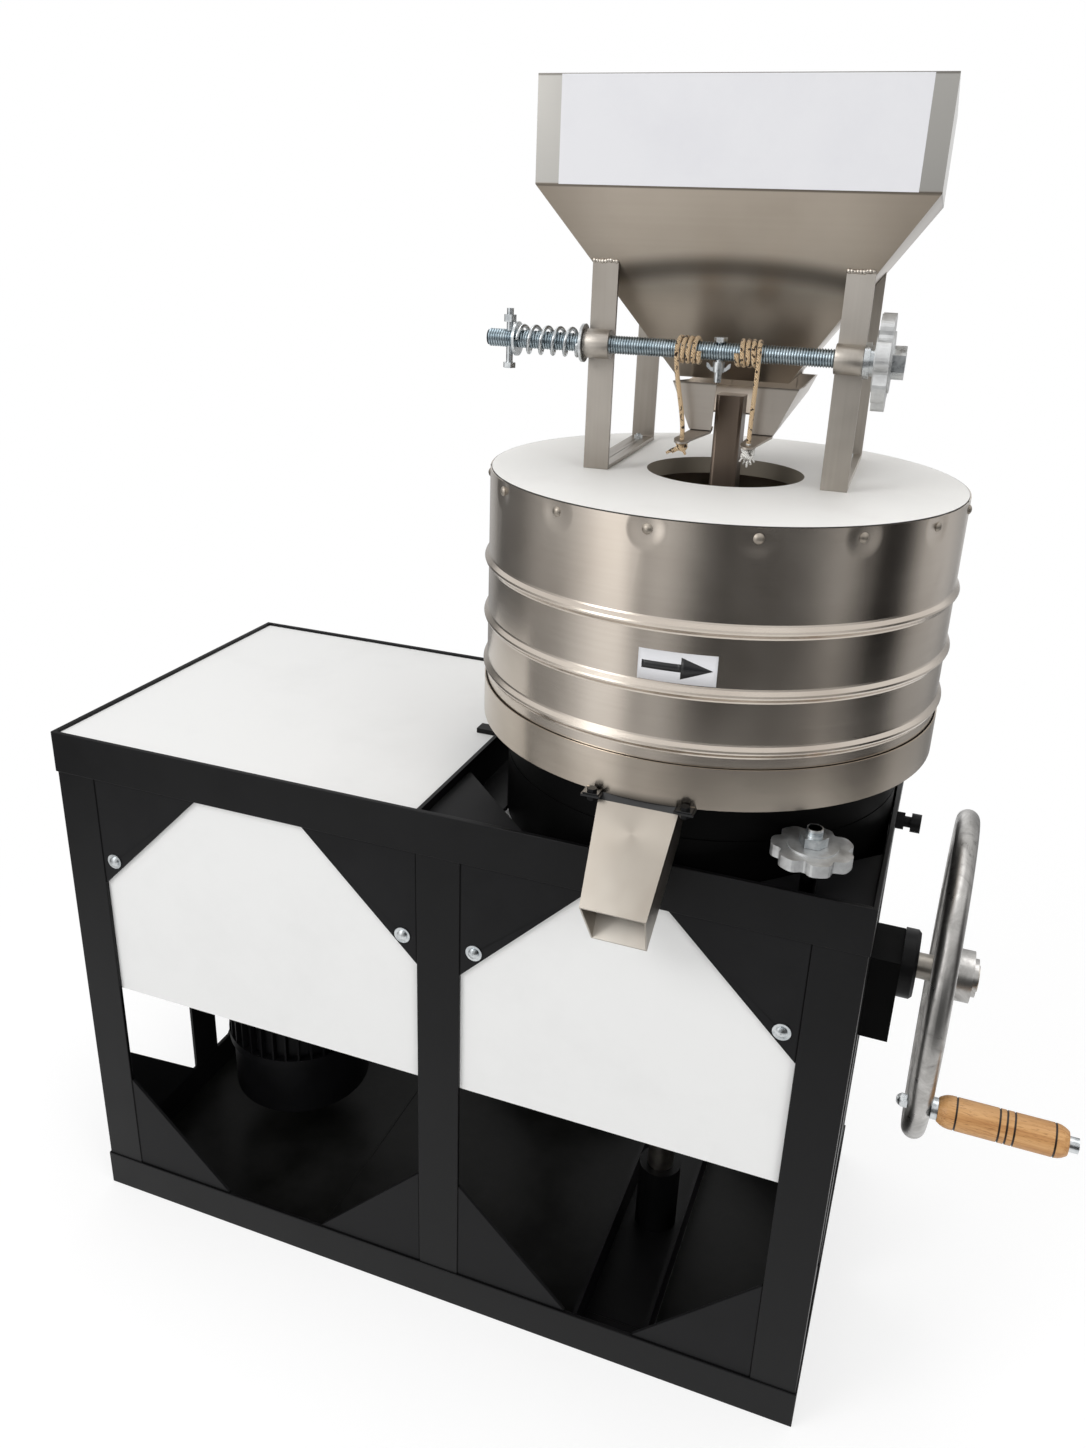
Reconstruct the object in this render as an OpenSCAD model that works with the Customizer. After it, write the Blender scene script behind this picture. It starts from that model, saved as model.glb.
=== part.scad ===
// Stone grain mill: an angle-iron frame with a motor bay and a stone bay,
// a round steel casing over the stones, and a hopper with a cord-hung shoe.
// The stone spindle stands at X = 0, Y = 0, and the floor is Z = 0.

/* [Frame] */
// Length of the frame
frame_w = 1100; // [1060:10:1300]
// Depth of the frame
frame_d = 528; // [516:4:560]
// Height of the rim above the floor
frame_h = 800; // [780:10:900]
// Leg of the angle iron
leg = 60; // [50:2:64]
// Thickness of the angle iron
leg_t = 6; // [4:1:8]
// Distance from the spindle to the right end of the frame
end_reach = 260; // [260:2:300]
// Distance from the spindle to the left side of the middle posts
mid_reach = 287; // [275:1:320]
// Leg of the corner gussets
gusset = 165; // [120:5:180]
// Leg of the level gussets below the rim
deck_gusset = 145; // [110:5:150]
// Depth of the level gussets below the rim
deck_drop = 12; // [8:1:30]

/* [Panels] */
// Thickness of the laminate panels
panel_t = 8; // [6:1:12]
// Height of the lower edge of the upright panels
panel_low = 392; // [300:4:450]
// Diameter of the panel screws
panel_screw_d = 8; // [5:1:10]
// Distance of the panel screws from the posts
panel_screw_in = 20; // [14:1:24]
// Distance of the panel screws below the rim rail
panel_screw_down = 125; // [90:5:130]

/* [Stones and drum] */
// Gap between the stone drum and the frame's faces
drum_gap = 12; // [11:1:24]
// Wall of the stone drum
drum_wall = 4; // [3:0.5:6]
// Height of the stone drum
drum_h = 138; // [120:2:150]
// Height of the bed stone above the drum
stone_rise = 16; // [10:1:24]
// Thickness of the runner stone
runner_h = 110; // [80:5:120]
// Radius of the runner stone
runner_r = 250; // [230:1:255]
// Eye radius of the runner stone
runner_eye_r = 60; // [50:1:75]
// Number of furrows in each stone
furrows = 12; // [8:1:16]
// Gap between the stones at rest
stone_gap = 0.6; // [0.4:0.1:1]

/* [Casing] */
// Overhang of the casing beyond the frame's faces
casing_over = 18; // [14:1:24]
// Sheet thickness of the casing and the pan
sheet = 1.5; // [1:0.1:2]
// Height from the drum's top to the cover's top
casing_h = 311; // [290:1:340]
// Height of the pan ring
pan_h = 49; // [30:1:60]
// Heights of the three beads above the drum's top
bead_levels = [69, 132, 202];
// Height of one bead
bead_w = 16; // [10:1:20]
// How far a bead stands proud
bead_proud = 5; // [3:0.5:7]
// Thickness of the cover board
cover_t = 20; // [16:1:24]
// Eye radius of the cover
eye_r = 93.5; // [80:0.5:100]
// Number of screws round the cover
cover_screws_n = 16; // [8:1:20]

/* [Chute] */
// Width of the chute at the pan
chute_w = 92; // [80:1:100]
// Width of the chute's lower plate at its mouth
chute_mouth_w = 65; // [50:1:78]
// Reach of the chute's upper plate in front of the pan
chute_reach = 76; // [60:1:90]
// Drop of the chute's upper plate
chute_drop = 101; // [80:1:120]
// Sheet thickness of the chute and the shoe
chute_sheet = 2; // [1.5:0.1:3]

/* [Hopper] */
// Turn of the hopper unit on the casing, in degrees
hopper_turn = 2.4; // [0:0.1:6]
// Sideways offset of the hopper unit
hopper_x = -6; // [-10:1:4]
// Distance of the hopper's middle behind the spindle
hopper_y = 92; // [88:1:96]
// Width of the hopper
hopper_w = 416; // [380:2:440]
// Depth of the hopper
hopper_d = 404; // [380:2:420]
// Height of the upright band
band_h = 105; // [80:1:130]
// Height of the sloped part
funnel_h = 202; // [196:1:210]
// Side of the square outlet
outlet = 134; // [128:1:140]
// Height of the outlet above the cover
outlet_rise = 104; // [100:1:110]
// Sheet thickness of the hopper
hopper_sheet = 2; // [1.5:0.1:3]

/* [Hopper stands] */
// Width of the flat bar
bar_w = 30; // [24:1:34]
// Thickness of the flat bar
bar_t = 5; // [4:0.5:8]
// Outer width over both stands
stand_span = 308; // [290:1:312]
// Distance of the front bars before the spindle
stand_front = 61; // [55:1:66]
// Distance of the rear bars behind the spindle
stand_rear = 180; // [165:1:190]

/* [Feed rod] */
// Diameter of the threaded feed rod
rod_d = 20; // [16:1:22]
// Height of the feed rod above the cover
rod_rise = 144; // [140:1:150]
// Outer diameter of the sleeves
sleeve_d = 32; // [28:1:36]
// Free length of the spring
spring_len = 77; // [66:1:84]
// Coils of the spring
spring_turns = 5; // [4:0.5:7]
// Wire diameter of the spring
spring_wire = 4.4; // [3:0.2:5]
// Mean diameter of the spring
spring_d = 29; // [28:0.5:34]
// Diameter of the cord
cord_d = 5.2; // [4:0.1:5.4]
// Turns of each cord on the rod
cord_turns = 4; // [3:1:5]
// Step of the cord turns
cord_step = 6.2; // [5.8:0.1:6.6]
// Radius of the star knobs
knob_r = 51; // [44:1:54]
// Thickness of the star knobs
knob_t = 14; // [12:1:16]
// Number of lobes of the star knobs
knob_lobes = 7; // [5:1:9]

/* [Shoe] */
// Width of the shoe at its top
shoe_top_w = 142; // [138:1:146]
// Width of the shoe at its bottom
shoe_bottom_w = 96; // [90:1:104]
// Height of the shoe at its front
shoe_h = 52; // [46:1:56]
// Distance of the shoe's front before the spindle
shoe_front = 62; // [56:1:66]
// Sideways offset of the shoe from the spindle
shoe_x = 12; // [6:1:14]
// Width of the gap between the front plates
shoe_gap = 38; // [34:1:44]
// Side of the square damsel bar
damsel = 32; // [28:1:34]

/* [Hand wheel] */
// Depth of the hand wheel shaft below the rim
wheel_down = 225; // [210:1:240]
// Radius of the hand wheel's rim
wheel_r = 200; // [170:1:210]
// Diameter of the rim's tube
rim_d = 29; // [24:1:34]
// Diameter of the hand wheel shaft
wheel_shaft_d = 34; // [28:1:38]
// Lean of the rim on its hub, in degrees
wheel_lean = 1.4; // [0:0.2:3]
// Distance of the rim from the frame's end
wheel_out = 86; // [84:1:100]
// Length of the wooden grip
grip_len = 143; // [120:1:160]
// Diameter of the wooden grip
grip_d = 39; // [34:1:44]
// Place of the grip round the wheel, in degrees from straight down to the front
grip_angle = 70; // [0:5:90]

/* [Drive] */
// Distance of the motor's axis from the frame's left end
motor_in = 199; // [180:1:220]
// Diameter of the spindle
spindle_d = 40; // [36:1:46]
// Outer radius of the spindle pulley
big_pulley_r = 180; // [150:1:190]
// Outer radius of the motor pulley
small_pulley_r = 55; // [45:1:70]
// Width of the flat belt
belt_w = 50; // [40:1:54]
// Radius of the motor's fan cowl
cowl_r = 112; // [100:1:118]
// Height of the motor's lower end
motor_low = 93; // [80:1:110]

/* [Hidden] */
$fn = 64;
eps = 0.5;
play = 0.3;
slip = 0.05;

// frame
post_in = 2;
gusset_t = leg_t - 1;
x0 = end_reach - frame_w;
x1 = end_reach;
y0 = -frame_d / 2;
y1 = frame_d / 2;
mid_x = -mid_reach;
rail_z = frame_h - leg;
seat_z = rail_z + leg_t;
deck_top = frame_h - deck_drop;
bays = [[x0 + post_in + leg, mid_x], [mid_x + leg, x1 - post_in - leg]];
end_gusset = 155;
left_bar_y = -15;
left_inside = x0 + post_in + leg_t;
right_inside = x1 - post_in - leg_t;
right_bar_w = 90;
floor_t = 3;
floor_seam_x = x0 + 365;
footing_w = 104;
guide_r = 32;
guide_top = 120;
guide_bottom = 60;

// panels
panel_top = rail_z - play;
panel_y = frame_d / 2 - post_in - leg_t - panel_t;
screw_z = rail_z - panel_screw_down;

// stones, pan and casing
floor_sheet_t = 2;
drum_r = frame_d / 2 - drum_gap;
casing_r = frame_d / 2 + casing_over;
drum_top = seat_z + drum_h;
hoop_z = seat_z + drum_h * 0.6;
pan_r = casing_r + 3;
pan_in = pan_r - sheet;
bed_r = drum_r - drum_wall - play;
bed_top = drum_top + stone_rise;
bed_eye_r = 40;
bush_r = 38;
furrow_w = 9;
furrow_d = 3;
runner_z = bed_top + stone_gap;
runner_top = runner_z + runner_h;
driver_z = runner_z + 30;
driver_bar_z = driver_z + 10;
driver_r = 35;
driver_h = 60;
driver_bar = [190, 30, 25];
spindle_top = driver_z + 40;
casing_z = drum_top + floor_sheet_t;
cover_top = drum_top + casing_h;
cover_r = casing_r - sheet - 0.15;
cover_screw_z = cover_top - cover_t / 2 - 2;
cover_screw_turn = -3.3;
bead_steps = 8;

// chute
chute_x = -4;
chute_back = -(drum_r - 2);
chute_front = -(pan_r - 4);
chute_a = [chute_front, drum_top];
chute_b = [chute_front - chute_reach - 4, drum_top - chute_drop];
chute_d = [chute_b[0] + 35, chute_b[1] - 59];
chute_e = [chute_back, drum_top - 61];
chute_tab_x = chute_w / 2 + 6.5;
chute_bolt_d = 6;

// hopper unit
outlet_z = cover_top + outlet_rise;
band_z = outlet_z + funnel_h;
hopper_top = band_z + band_h;
stand_half = stand_span / 2;
left_face = hopper_x - stand_half;
right_face = hopper_x + stand_half;
stand_bolts_y = [-30, 150];
rod_y = -stand_front - sleeve_d / 2 + 1;
rod_z = cover_top + rod_rise;
rod_r = rod_d / 2;
rod_left = left_face - 117;
washer_t = 3;
washer_r = 21;
spring_right = left_face - washer_t - play;
spring_left = spring_right - spring_len;
cross_x = spring_left - washer_t - 8;
bolt_r = 4;
flange_x = right_face + play;
flange_t = 11;
flange_r = 19;
knob_dip = 0.17;
feed_knob_x = flange_x + flange_t + 2;
knob_nut_x = feed_knob_x + knob_t + 2;
rod_right = knob_nut_x + 12;
deck_knob_at = [182, -240, 0];
deck_knob_z = frame_h + 34;
deck_knob_r = 45;
deck_stud_r = 9;

// cords
wind_r = rod_r + cord_d / 2 + 0.1;
fall_y = rod_y - wind_r;
left_cord_x = -51.5;
right_cord_x = 39;
turn_rings = 24;
cord_gap = 0.8;
tab_x = [-38, 37];
tab_hole_y = fall_y;
knot_z = outlet_z - 65;
cord_end_z = outlet_z - 55;

// shoe
shoe_z = outlet_z - 48;
shoe_gap_low = shoe_gap + 8;
tab_rear = -shoe_front + 12;
shoe_rear = hopper_y + outlet / 2 + 11;
shoe_back_top = outlet_z - 2;
shoe_slope = 24 / (shoe_rear + shoe_front);
pin_y = shoe_rear + 12;
pin_z = outlet_z - 11;
pin_r = 4;
lug_x = 44;
lug_t = 4;
damsel_z = driver_z + driver_h;
damsel_top = outlet_z - 14;
damsel_wall = 3;
damsel_round = 5;

// hand wheel and lift
wheel_x = x1 + wheel_out;
wheel_z = frame_h - wheel_down;
wheel_shaft_r = wheel_shaft_d / 2;
bracket_x = x1 - post_in;
bracket_t = 38;
bracket_z = [wheel_z - 99, wheel_z + 24];
housing_x = bracket_x + bracket_t;
housing_t = 20;
housing_r = 46;
hub_x = [wheel_x - 8, wheel_x + 39];
grip_y = -wheel_r * sin(grip_angle);
grip_z = wheel_z - wheel_r * cos(grip_angle);
rim_x = wheel_x + grip_y * sin(wheel_lean);
seat = 1;
grip_x = rim_x + rim_d / 2 + 6.5;
grip_end = grip_x + grip_len;
grip_bolt_r = 5;
grip_grooves = [20, 67.5, 75.5, 84, 128];
thread_r = 12;
thread_x = 72;
thread_root_x = 115;
bridge_top = wheel_z - 47;
bridge_t = 8;
bridge_h = 50;
bridge_w = 110;
beam_w = 40;
wedge_slope = 0.25;
wedge_z = bridge_top + play;
wedge_mid_z = bridge_top + 24;
wedge_x = [-75, 110];
wedge_w = 110;
fork_r = 35.5;
fork_x = 62;
nut_block_x = 70;
nut_block_top = wheel_z + 30;
sleeve_r = 35;
sleeve_z = [wheel_z - 85, wheel_z + 25];
foot_x = 42;
foot_top = wheel_z + 15;
collar_z = sleeve_z[1] + play;
collar_h = 40;
collar_r = 30;

// drive
spindle_r = spindle_d / 2;
pulley_z = collar_z + collar_h;
pulley_h = 80;
belt_z = pulley_z + 21;
belt_t = 5;
belt_gap = 0.3;
plate_t = 8;
plate_z = rail_z - 123;
motor_x = x0 + motor_in;
motor_r = cowl_r + 7;
motor_core_r = motor_r - 12;
cowl_h = 95;
motor_top = plate_z - play;
motor_shaft_r = 14;
hanger_r = 8;
hanger_at = [100, frame_d / 2 - 39];
plate_half = [130, frame_d / 2 - 28];

// Outline of an angle iron with its corner at the origin
module angle_profile() {
    polygon([[0, 0], [leg, 0], [leg, leg_t], [leg_t, leg_t], [leg_t, leg], [0, leg]]);
}

// Square frame ring of angle iron, its level leg below
module angle_ring() {
    translate([x0, y0, 0])
        difference() {
            cube([frame_w, frame_d, leg]);
            translate([leg_t, leg_t, leg_t])
                cube([frame_w - 2 * leg_t, frame_d - 2 * leg_t, leg]);
            translate([leg, leg, -eps])
                cube([frame_w - 2 * leg, frame_d - 2 * leg, leg]);
        }
}

// Triangle plate with its right angle at the origin
module corner_plate(side, thick) {
    linear_extrude(thick)
        polygon([[0, 0], [side, 0], [0, side]]);
}

// Upright tube or washer
module ring(outer, inner, height) {
    difference() {
        cylinder(r = outer, h = height);
        translate([0, 0, -eps])
            cylinder(r = inner, h = height + 2 * eps);
    }
}

// Hexagon nut or bolt head
module hexagon(across, height) {
    cylinder(d = across / cos(30), h = height, $fn = 6);
}

module hex_nut(across, bore_r, height) {
    difference() {
        hexagon(across, height);
        translate([0, 0, -eps])
            cylinder(r = bore_r, h = height + 2 * eps);
    }
}

// Lays a shape drawn along Z along X, starting at the given place
module along_x(at) {
    translate(at)
        rotate([0, 90, 0]) children();
}

// Repeats a shape at the front and mirrored at the back
module both_sides() {
    children();
    mirror([0, 1, 0]) children();
}

// The hopper unit stands slightly turned on the casing
module on_casing() {
    rotate([0, 0, hopper_turn]) children();
}

// Solid with four sloped sides, standing on its small end
module taper(low_w, low_d, top_w, top_d, height) {
    intersection() {
        rotate([90, 0, 0])
            linear_extrude(top_d + 2, center = true)
                polygon([[-low_w / 2, 0], [low_w / 2, 0], [top_w / 2, height], [-top_w / 2, height]]);
        rotate([90, 0, 90])
            linear_extrude(top_w + 2, center = true)
                polygon([[-low_d / 2, 0], [low_d / 2, 0], [top_d / 2, height], [-top_d / 2, height]]);
    }
}

// Radius of a star knob's edge, with a narrow dip between its round lobes
function knob_edge(r, a) = r * (1 - knob_dip * pow((1 - cos(knob_lobes * a)) / 2, 3));

// Star knob with round lobes and a hub, drawn upright
module star_knob(r, bore_r, hub_low, hub_high) {
    count = 14 * knob_lobes;
    difference() {
        union() {
            linear_extrude(knob_t)
                polygon([for (i = [0:count - 1])
                    let (a = 360 * i / count) knob_edge(r, a) * [cos(a), sin(a)]]);
            translate([0, 0, -hub_low])
                cylinder(r = r * 0.62, h = knob_t + hub_low + hub_high);
        }
        translate([0, 0, -hub_low - eps])
            cylinder(r = bore_r, h = knob_t + hub_low + hub_high + 2 * eps);
    }
}

function unit(v) = v / norm(v);

// One ring of points round a place on a path
function ring_at(p, side, up, r, sides) =
    [for (k = [0:sides - 1]) p + r * (cos(360 * k / sides) * side + sin(360 * k / sides) * up)];

// Tube through all rings of a path, closed at both ends
module tube(path, flanks, ups, r, sides) {
    n = len(path);
    top = (n - 1) * sides;
    points = [for (i = [0:n - 1]) each ring_at(path[i], flanks[i], ups[i], r, sides)];
    walls = [for (i = [0:n - 2]) for (k = [0:sides - 1])
        let (a = i * sides + k, b = i * sides + (k + 1) % sides)
            each [[a, b + sides, b], [a, a + sides, b + sides]]];
    low = [for (k = [1:sides - 2]) [0, k, k + 1]];
    high = [for (k = [1:sides - 2]) [top, top + k + 1, top + k]];
    polyhedron(points = points, faces = concat(walls, low, high));
}

// Coil along X, starting at the front and rising
module coil(r, step, turns, per_turn, wire_r) {
    count = round(turns * per_turn);
    angles = [for (i = [0:count]) 360 * i / per_turn];
    path = [for (a = angles) [step * a / 360, -r * cos(a), r * sin(a)]];
    outs = [for (a = angles) [0, -cos(a), sin(a)]];
    flanks = [for (a = angles)
        unit(cross([0, -cos(a), sin(a)],
            [step / (2 * PI), r * sin(a), r * cos(a)]))];
    tube(path, flanks, outs, wire_r, 6);
}

// Tube through a few points of a hanging cord
module hanging(path) {
    n = len(path);
    ways = [for (i = [0:n - 1]) unit(path[min(i + 1, n - 1)] - path[max(i - 1, 0)])];
    flanks = [for (w = ways) unit(cross([0, 1, 0], w))];
    ups = [for (i = [0:n - 1]) cross(ways[i], flanks[i])];
    tube(path, flanks, ups, cord_d / 2, 6);
}

echo("least gap between cord turns", cord_step - cord_d);
echo("least gap between spring coils", (spring_len - spring_wire) / spring_turns - spring_wire);

module top_frame() {
    color("#1c1c1e")
        difference() {
            union() {
                translate([0, 0, rail_z]) angle_ring();
                translate([mid_x, y0 + leg_t, rail_z])
                    cube([leg_t, frame_d - 2 * leg_t, leg]);
                translate([mid_x, y0 + leg_t, rail_z])
                    cube([leg, frame_d - 2 * leg_t, leg_t]);
            }
            along_x([x1 - leg_t - eps, 0, clamp_z()])
                cylinder(r = clamp_r() + slip, h = leg_t + 2 * eps);
        }
}

function clamp_z() = frame_h - 21;
function clamp_r() = 7;

module bottom_frame() {
    color("#1c1c1e")
        angle_ring();
}

module post(at, turn) {
    translate([at[0], at[1], leg])
        rotate(turn)
            linear_extrude(rail_z - leg) angle_profile();
}

module frame_posts() {
    color("#1c1c1e") {
        post([x0 + post_in, y0 + post_in], 0);
        post([x1 - post_in, y0 + post_in], 90);
        post([x1 - post_in, y1 - post_in], 180);
        post([x0 + post_in, y1 - post_in], -90);
        both_sides()
            post([mid_x, y0 + post_in], 0);
        translate([x0 + post_in, left_bar_y - leg / 2, leg])
            cube([leg_t, leg, rail_z - leg]);
        difference() {
            translate([x1 - post_in - leg_t, -right_bar_w / 2, leg])
                cube([leg_t, right_bar_w, rail_z - leg]);
            along_x([x1 - post_in - leg_t - eps, 0, wheel_z])
                cylinder(r = wheel_shaft_r + 2, h = leg_t + 2 * eps);
        }
    }
}

module front_gussets() {
    for (bay = bays)
        for (low = [0, 1])
            for (left = [0, 1])
                translate([bay[left], y0 + post_in + leg_t, low ? rail_z : leg])
                    mirror([left, 0, 0])
                        mirror([0, 0, low])
                            rotate([90, 0, 0])
                                corner_plate(gusset, gusset_t);
}

module end_gussets() {
    for (x = [x0 + post_in + 1, x1 - post_in - leg_t])
        for (low = [0, 1])
            translate([x, y0 + post_in + leg, low ? rail_z : leg])
                mirror([0, 0, low])
                    rotate([90, 0, 90])
                        corner_plate(end_gusset, gusset_t);
}

module deck_gussets() {
    for (x = [x0 + leg_t, mid_x + leg_t])
        translate([x, y0 + leg_t, deck_top - leg_t])
            corner_plate(deck_gusset, leg_t);
    for (x = [mid_x, x1 - leg_t])
        translate([x, y0 + leg_t, deck_top - leg_t])
            mirror([1, 0, 0])
                corner_plate(deck_gusset, leg_t);
}

module gussets() {
    color("#1c1c1e")
        difference() {
            both_sides() {
                front_gussets();
                end_gussets();
                deck_gussets();
            }
            both_sides() panel_screw_places()
                cylinder(d = panel_screw_d + 2 * slip, h = 40, center = true);
        }
}

module floor_plate(from, to) {
    translate([from, y0 + leg_t + play, leg_t])
        cube([to - from, frame_d - 2 * leg_t - 2 * play, floor_t]);
}

module floor_sheet() {
    color("#232325") {
        floor_plate(x0 + leg_t + play, floor_seam_x - eps);
        floor_plate(floor_seam_x + eps, -footing_w / 2 - play);
        floor_plate(footing_w / 2 + play, x1 - leg_t - play);
    }
}

// Channel across the frame with the spindle's lower guide on it
module spindle_footing() {
    color("#1c1c1e")
        difference() {
            union() {
                translate([-footing_w / 2, y0 + leg, 0])
                    cube([footing_w, frame_d - 2 * leg, leg_t]);
                for (x = [-footing_w / 2, footing_w / 2 - leg_t])
                    translate([x, y0 + leg_t + play, leg_t])
                        cube([leg_t, frame_d - 2 * leg_t - 2 * play, leg - leg_t]);
                cylinder(r = guide_r, h = guide_top);
            }
            translate([0, 0, guide_bottom])
                cylinder(r = spindle_r + slip, h = guide_top);
        }
}

module panel_screw_places() {
    for (bay = bays)
        for (x = [bay[0] + panel_screw_in, bay[1] - panel_screw_in])
            translate([x, y0 + post_in + 1, screw_z])
                rotate([90, 0, 0]) children();
}

module bay_panels() {
    difference() {
        union() {
            translate([left_inside + play, -panel_y - panel_t, panel_low])
                cube([mid_x - left_inside - 2 * play, panel_t, panel_top - panel_low]);
            translate([mid_x + leg_t + play, -panel_y - panel_t, panel_low])
                cube([right_inside - mid_x - leg_t - 2 * play, panel_t, panel_top - panel_low]);
        }
        panel_screw_places()
            cylinder(d = panel_screw_d + 2 * slip, h = 60, center = true);
    }
}

module front_panels() {
    color("#ececea")
        bay_panels();
}

module back_panels() {
    color("#ececea")
        mirror([0, 1, 0]) bay_panels();
}

module end_panels() {
    inner_w = 2 * (panel_y - play);
    color("#ececea") {
        translate([left_inside, -inner_w / 2, panel_low])
            cube([panel_t, inner_w, panel_top - panel_low]);
        difference() {
            translate([right_inside - panel_t, -inner_w / 2, panel_low])
                cube([panel_t, inner_w, panel_top - panel_low]);
            translate([x1 - 40, -bridge_w / 2 - 1, panel_low - 1])
                cube([80, bridge_w + 2, bridge_top - panel_low + 2]);
            along_x([x1 - 40, 0, wheel_z])
                cylinder(r = wheel_shaft_r + 4, h = 80);
        }
    }
}

module top_panel() {
    color("#ececea")
        translate([x0 + leg_t + play, y0 + leg_t + play, deck_top])
            cube([mid_x - x0 - leg_t - 2 * play, frame_d - 2 * leg_t - 2 * play, panel_t]);
}

module panel_screws() {
    color("#c9c9c9")
        both_sides() panel_screw_places() {
            translate([0, 0, -22])
                cylinder(d = panel_screw_d, h = 22);
            cylinder(r = 11, h = 1.6);
            translate([0, 0, 1.6])
                intersection() {
                    cylinder(r = 7, h = 4);
                    translate([0, 0, -7])
                        sphere(r = 11);
                }
        }
}

module panel_clip() {
    clip_z = deck_top + panel_t;
    color("#1c1c1e")
        translate([mid_x - 29, left_bar_y + 3, clip_z]) {
            cube([26, 20, frame_h - clip_z + 3]);
            translate([0, 0, frame_h - clip_z])
                cube([34, 20, 3]);
        }
}

// Beams under the lift: one between the middle posts, one to the right end
module bridge_beam() {
    color("#1c1c1e")
        difference() {
            union() {
                translate([mid_x + leg_t, -panel_y + play, bridge_top - bridge_h])
                    cube([beam_w, 2 * panel_y - 2 * play, bridge_h]);
                translate([mid_x + leg_t, -bridge_w / 2, bridge_top - bridge_h])
                    cube([right_inside - mid_x - leg_t, bridge_w, bridge_h]);
            }
            translate([mid_x + 2 * leg_t, -panel_y, bridge_top - bridge_h + bridge_t])
                cube([beam_w - 2 * leg_t, 2 * panel_y, bridge_h - 2 * bridge_t]);
            translate([mid_x + leg_t + beam_w, -bridge_w / 2 + bridge_t, bridge_top - bridge_h - eps])
                cube([x1 - mid_x, bridge_w - 2 * bridge_t, bridge_h - bridge_t + eps]);
            translate([0, 0, bridge_top - bridge_h])
                cylinder(r = sleeve_r + play, h = bridge_h + eps);
        }
}

module stone_drum() {
    color("#161617")
        difference() {
            translate([0, 0, seat_z])
                cylinder(r = drum_r, h = drum_h);
            translate([0, 0, seat_z + leg_t])
                cylinder(r = drum_r - drum_wall, h = drum_h);
            translate([0, 0, seat_z - eps])
                cylinder(r = spindle_r + 2, h = leg_t + 2 * eps);
            translate([0, 0, hoop_z])
                difference() {
                    cylinder(r = drum_r + 1, h = 2);
                    translate([0, 0, -eps])
                        cylinder(r = drum_r - 1, h = 2 + 2 * eps);
                }
        }
}

// Straight furrows set off from the middle, as a stone is dressed
module furrow_cuts(z, hand) {
    for (i = [0:furrows - 1])
        rotate(i * 360 / furrows)
            translate([70, hand * 30 - furrow_w / 2, z])
                cube([drum_r, furrow_w, furrow_d]);
}

module bed_stone() {
    color("#b9b2a4")
        difference() {
            translate([0, 0, seat_z + leg_t])
                cylinder(r = bed_r, h = bed_top - seat_z - leg_t);
            translate([0, 0, seat_z])
                cylinder(r = bed_eye_r, h = bed_top);
            furrow_cuts(bed_top - furrow_d + 0.01, 1);
        }
}

module spindle_bush() {
    color("#7a5c3a")
        translate([0, 0, seat_z + leg_t])
            ring(bush_r, spindle_r + slip, bed_top - seat_z - leg_t - 2);
}

module pan_ring() {
    color("#b5aca0")
        difference() {
            union() {
                translate([0, 0, drum_top])
                    ring(pan_r, pan_in, pan_h);
                translate([0, 0, drum_top])
                    ring(pan_r, drum_r - drum_wall + 1, floor_sheet_t);
                for (side = [-1, 1])
                    translate([chute_x + side * chute_tab_x - 9, -pan_r - 9, drum_top])
                        cube([18, 32, floor_sheet_t]);
            }
            translate([chute_x - chute_w / 2 + 6, chute_front + 1, drum_top - eps])
                cube([chute_w - 12, chute_back - chute_front - 6, 6]);
            chute_bolt_places()
                cylinder(d = chute_bolt_d + 2 * slip, h = 20, center = true);
        }
}

module chute_bolt_places() {
    for (side = [-1, 1])
        translate([chute_x + side * chute_tab_x, -pan_r - 3, drum_top]) children();
}

// Side outline of the chute, shrunk by the sheet for its hollow
function chute_way(p, q) = unit(q - p);
function chute_in(p, q, t) = t * [-chute_way(p, q)[1], chute_way(p, q)[0]];
module chute_body(t, reach) {
    down = chute_way(chute_a, chute_b);
    up = chute_way(chute_d, chute_e);
    in_front = chute_in(chute_a, chute_b, t);
    in_back = chute_in(chute_d, chute_e, t);
    half_top = chute_w / 2 - t;
    half_low = chute_mouth_w / 2 - t;
    intersection() {
        translate([chute_x, 0, 0])
            rotate([90, 0, 90])
                linear_extrude(chute_w * 2, center = true)
                    polygon([chute_a + in_front - reach * down, chute_b + in_front + reach * down,
                        chute_d + in_back - reach * up, chute_e + in_back + reach * up,
                        [chute_back + reach, chute_a[1] + reach]]);
        translate([chute_x, 0, 0])
            rotate([90, 0, 0])
                linear_extrude(1000, center = true)
                    polygon([[-half_top - 5 * reach / 60, drum_top + reach],
                        [-half_top, drum_top], [-half_low, chute_d[1]],
                        [-half_low, chute_d[1] - reach - 1], [half_low, chute_d[1] - reach - 1],
                        [half_low, chute_d[1]], [half_top, drum_top],
                        [half_top + 5 * reach / 60, drum_top + reach]]);
    }
}

module chute() {
    color("#b5aca0")
        difference() {
            union() {
                chute_body(0, 0);
                for (side = [-1, 1])
                    translate([chute_x + side * chute_tab_x - 11, -pan_r - 10, drum_top - 2.5])
                        cube([22, 28, 2.5]);
            }
            chute_body(chute_sheet, 12);
            translate([0, 0, seat_z])
                cylinder(r = drum_r + play, h = drum_h + eps);
            chute_bolt_places()
                cylinder(d = chute_bolt_d + 2 * slip, h = 20, center = true);
        }
}

module chute_bolts() {
    color("#c9c9c9")
        chute_bolt_places() {
            translate([0, 0, floor_sheet_t])
                hexagon(10, 4);
            translate([0, 0, -9])
                cylinder(d = chute_bolt_d, h = 9 + floor_sheet_t);
            translate([0, 0, -7.5])
                hex_nut(10, chute_bolt_d / 2, 5);
        }
}

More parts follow.
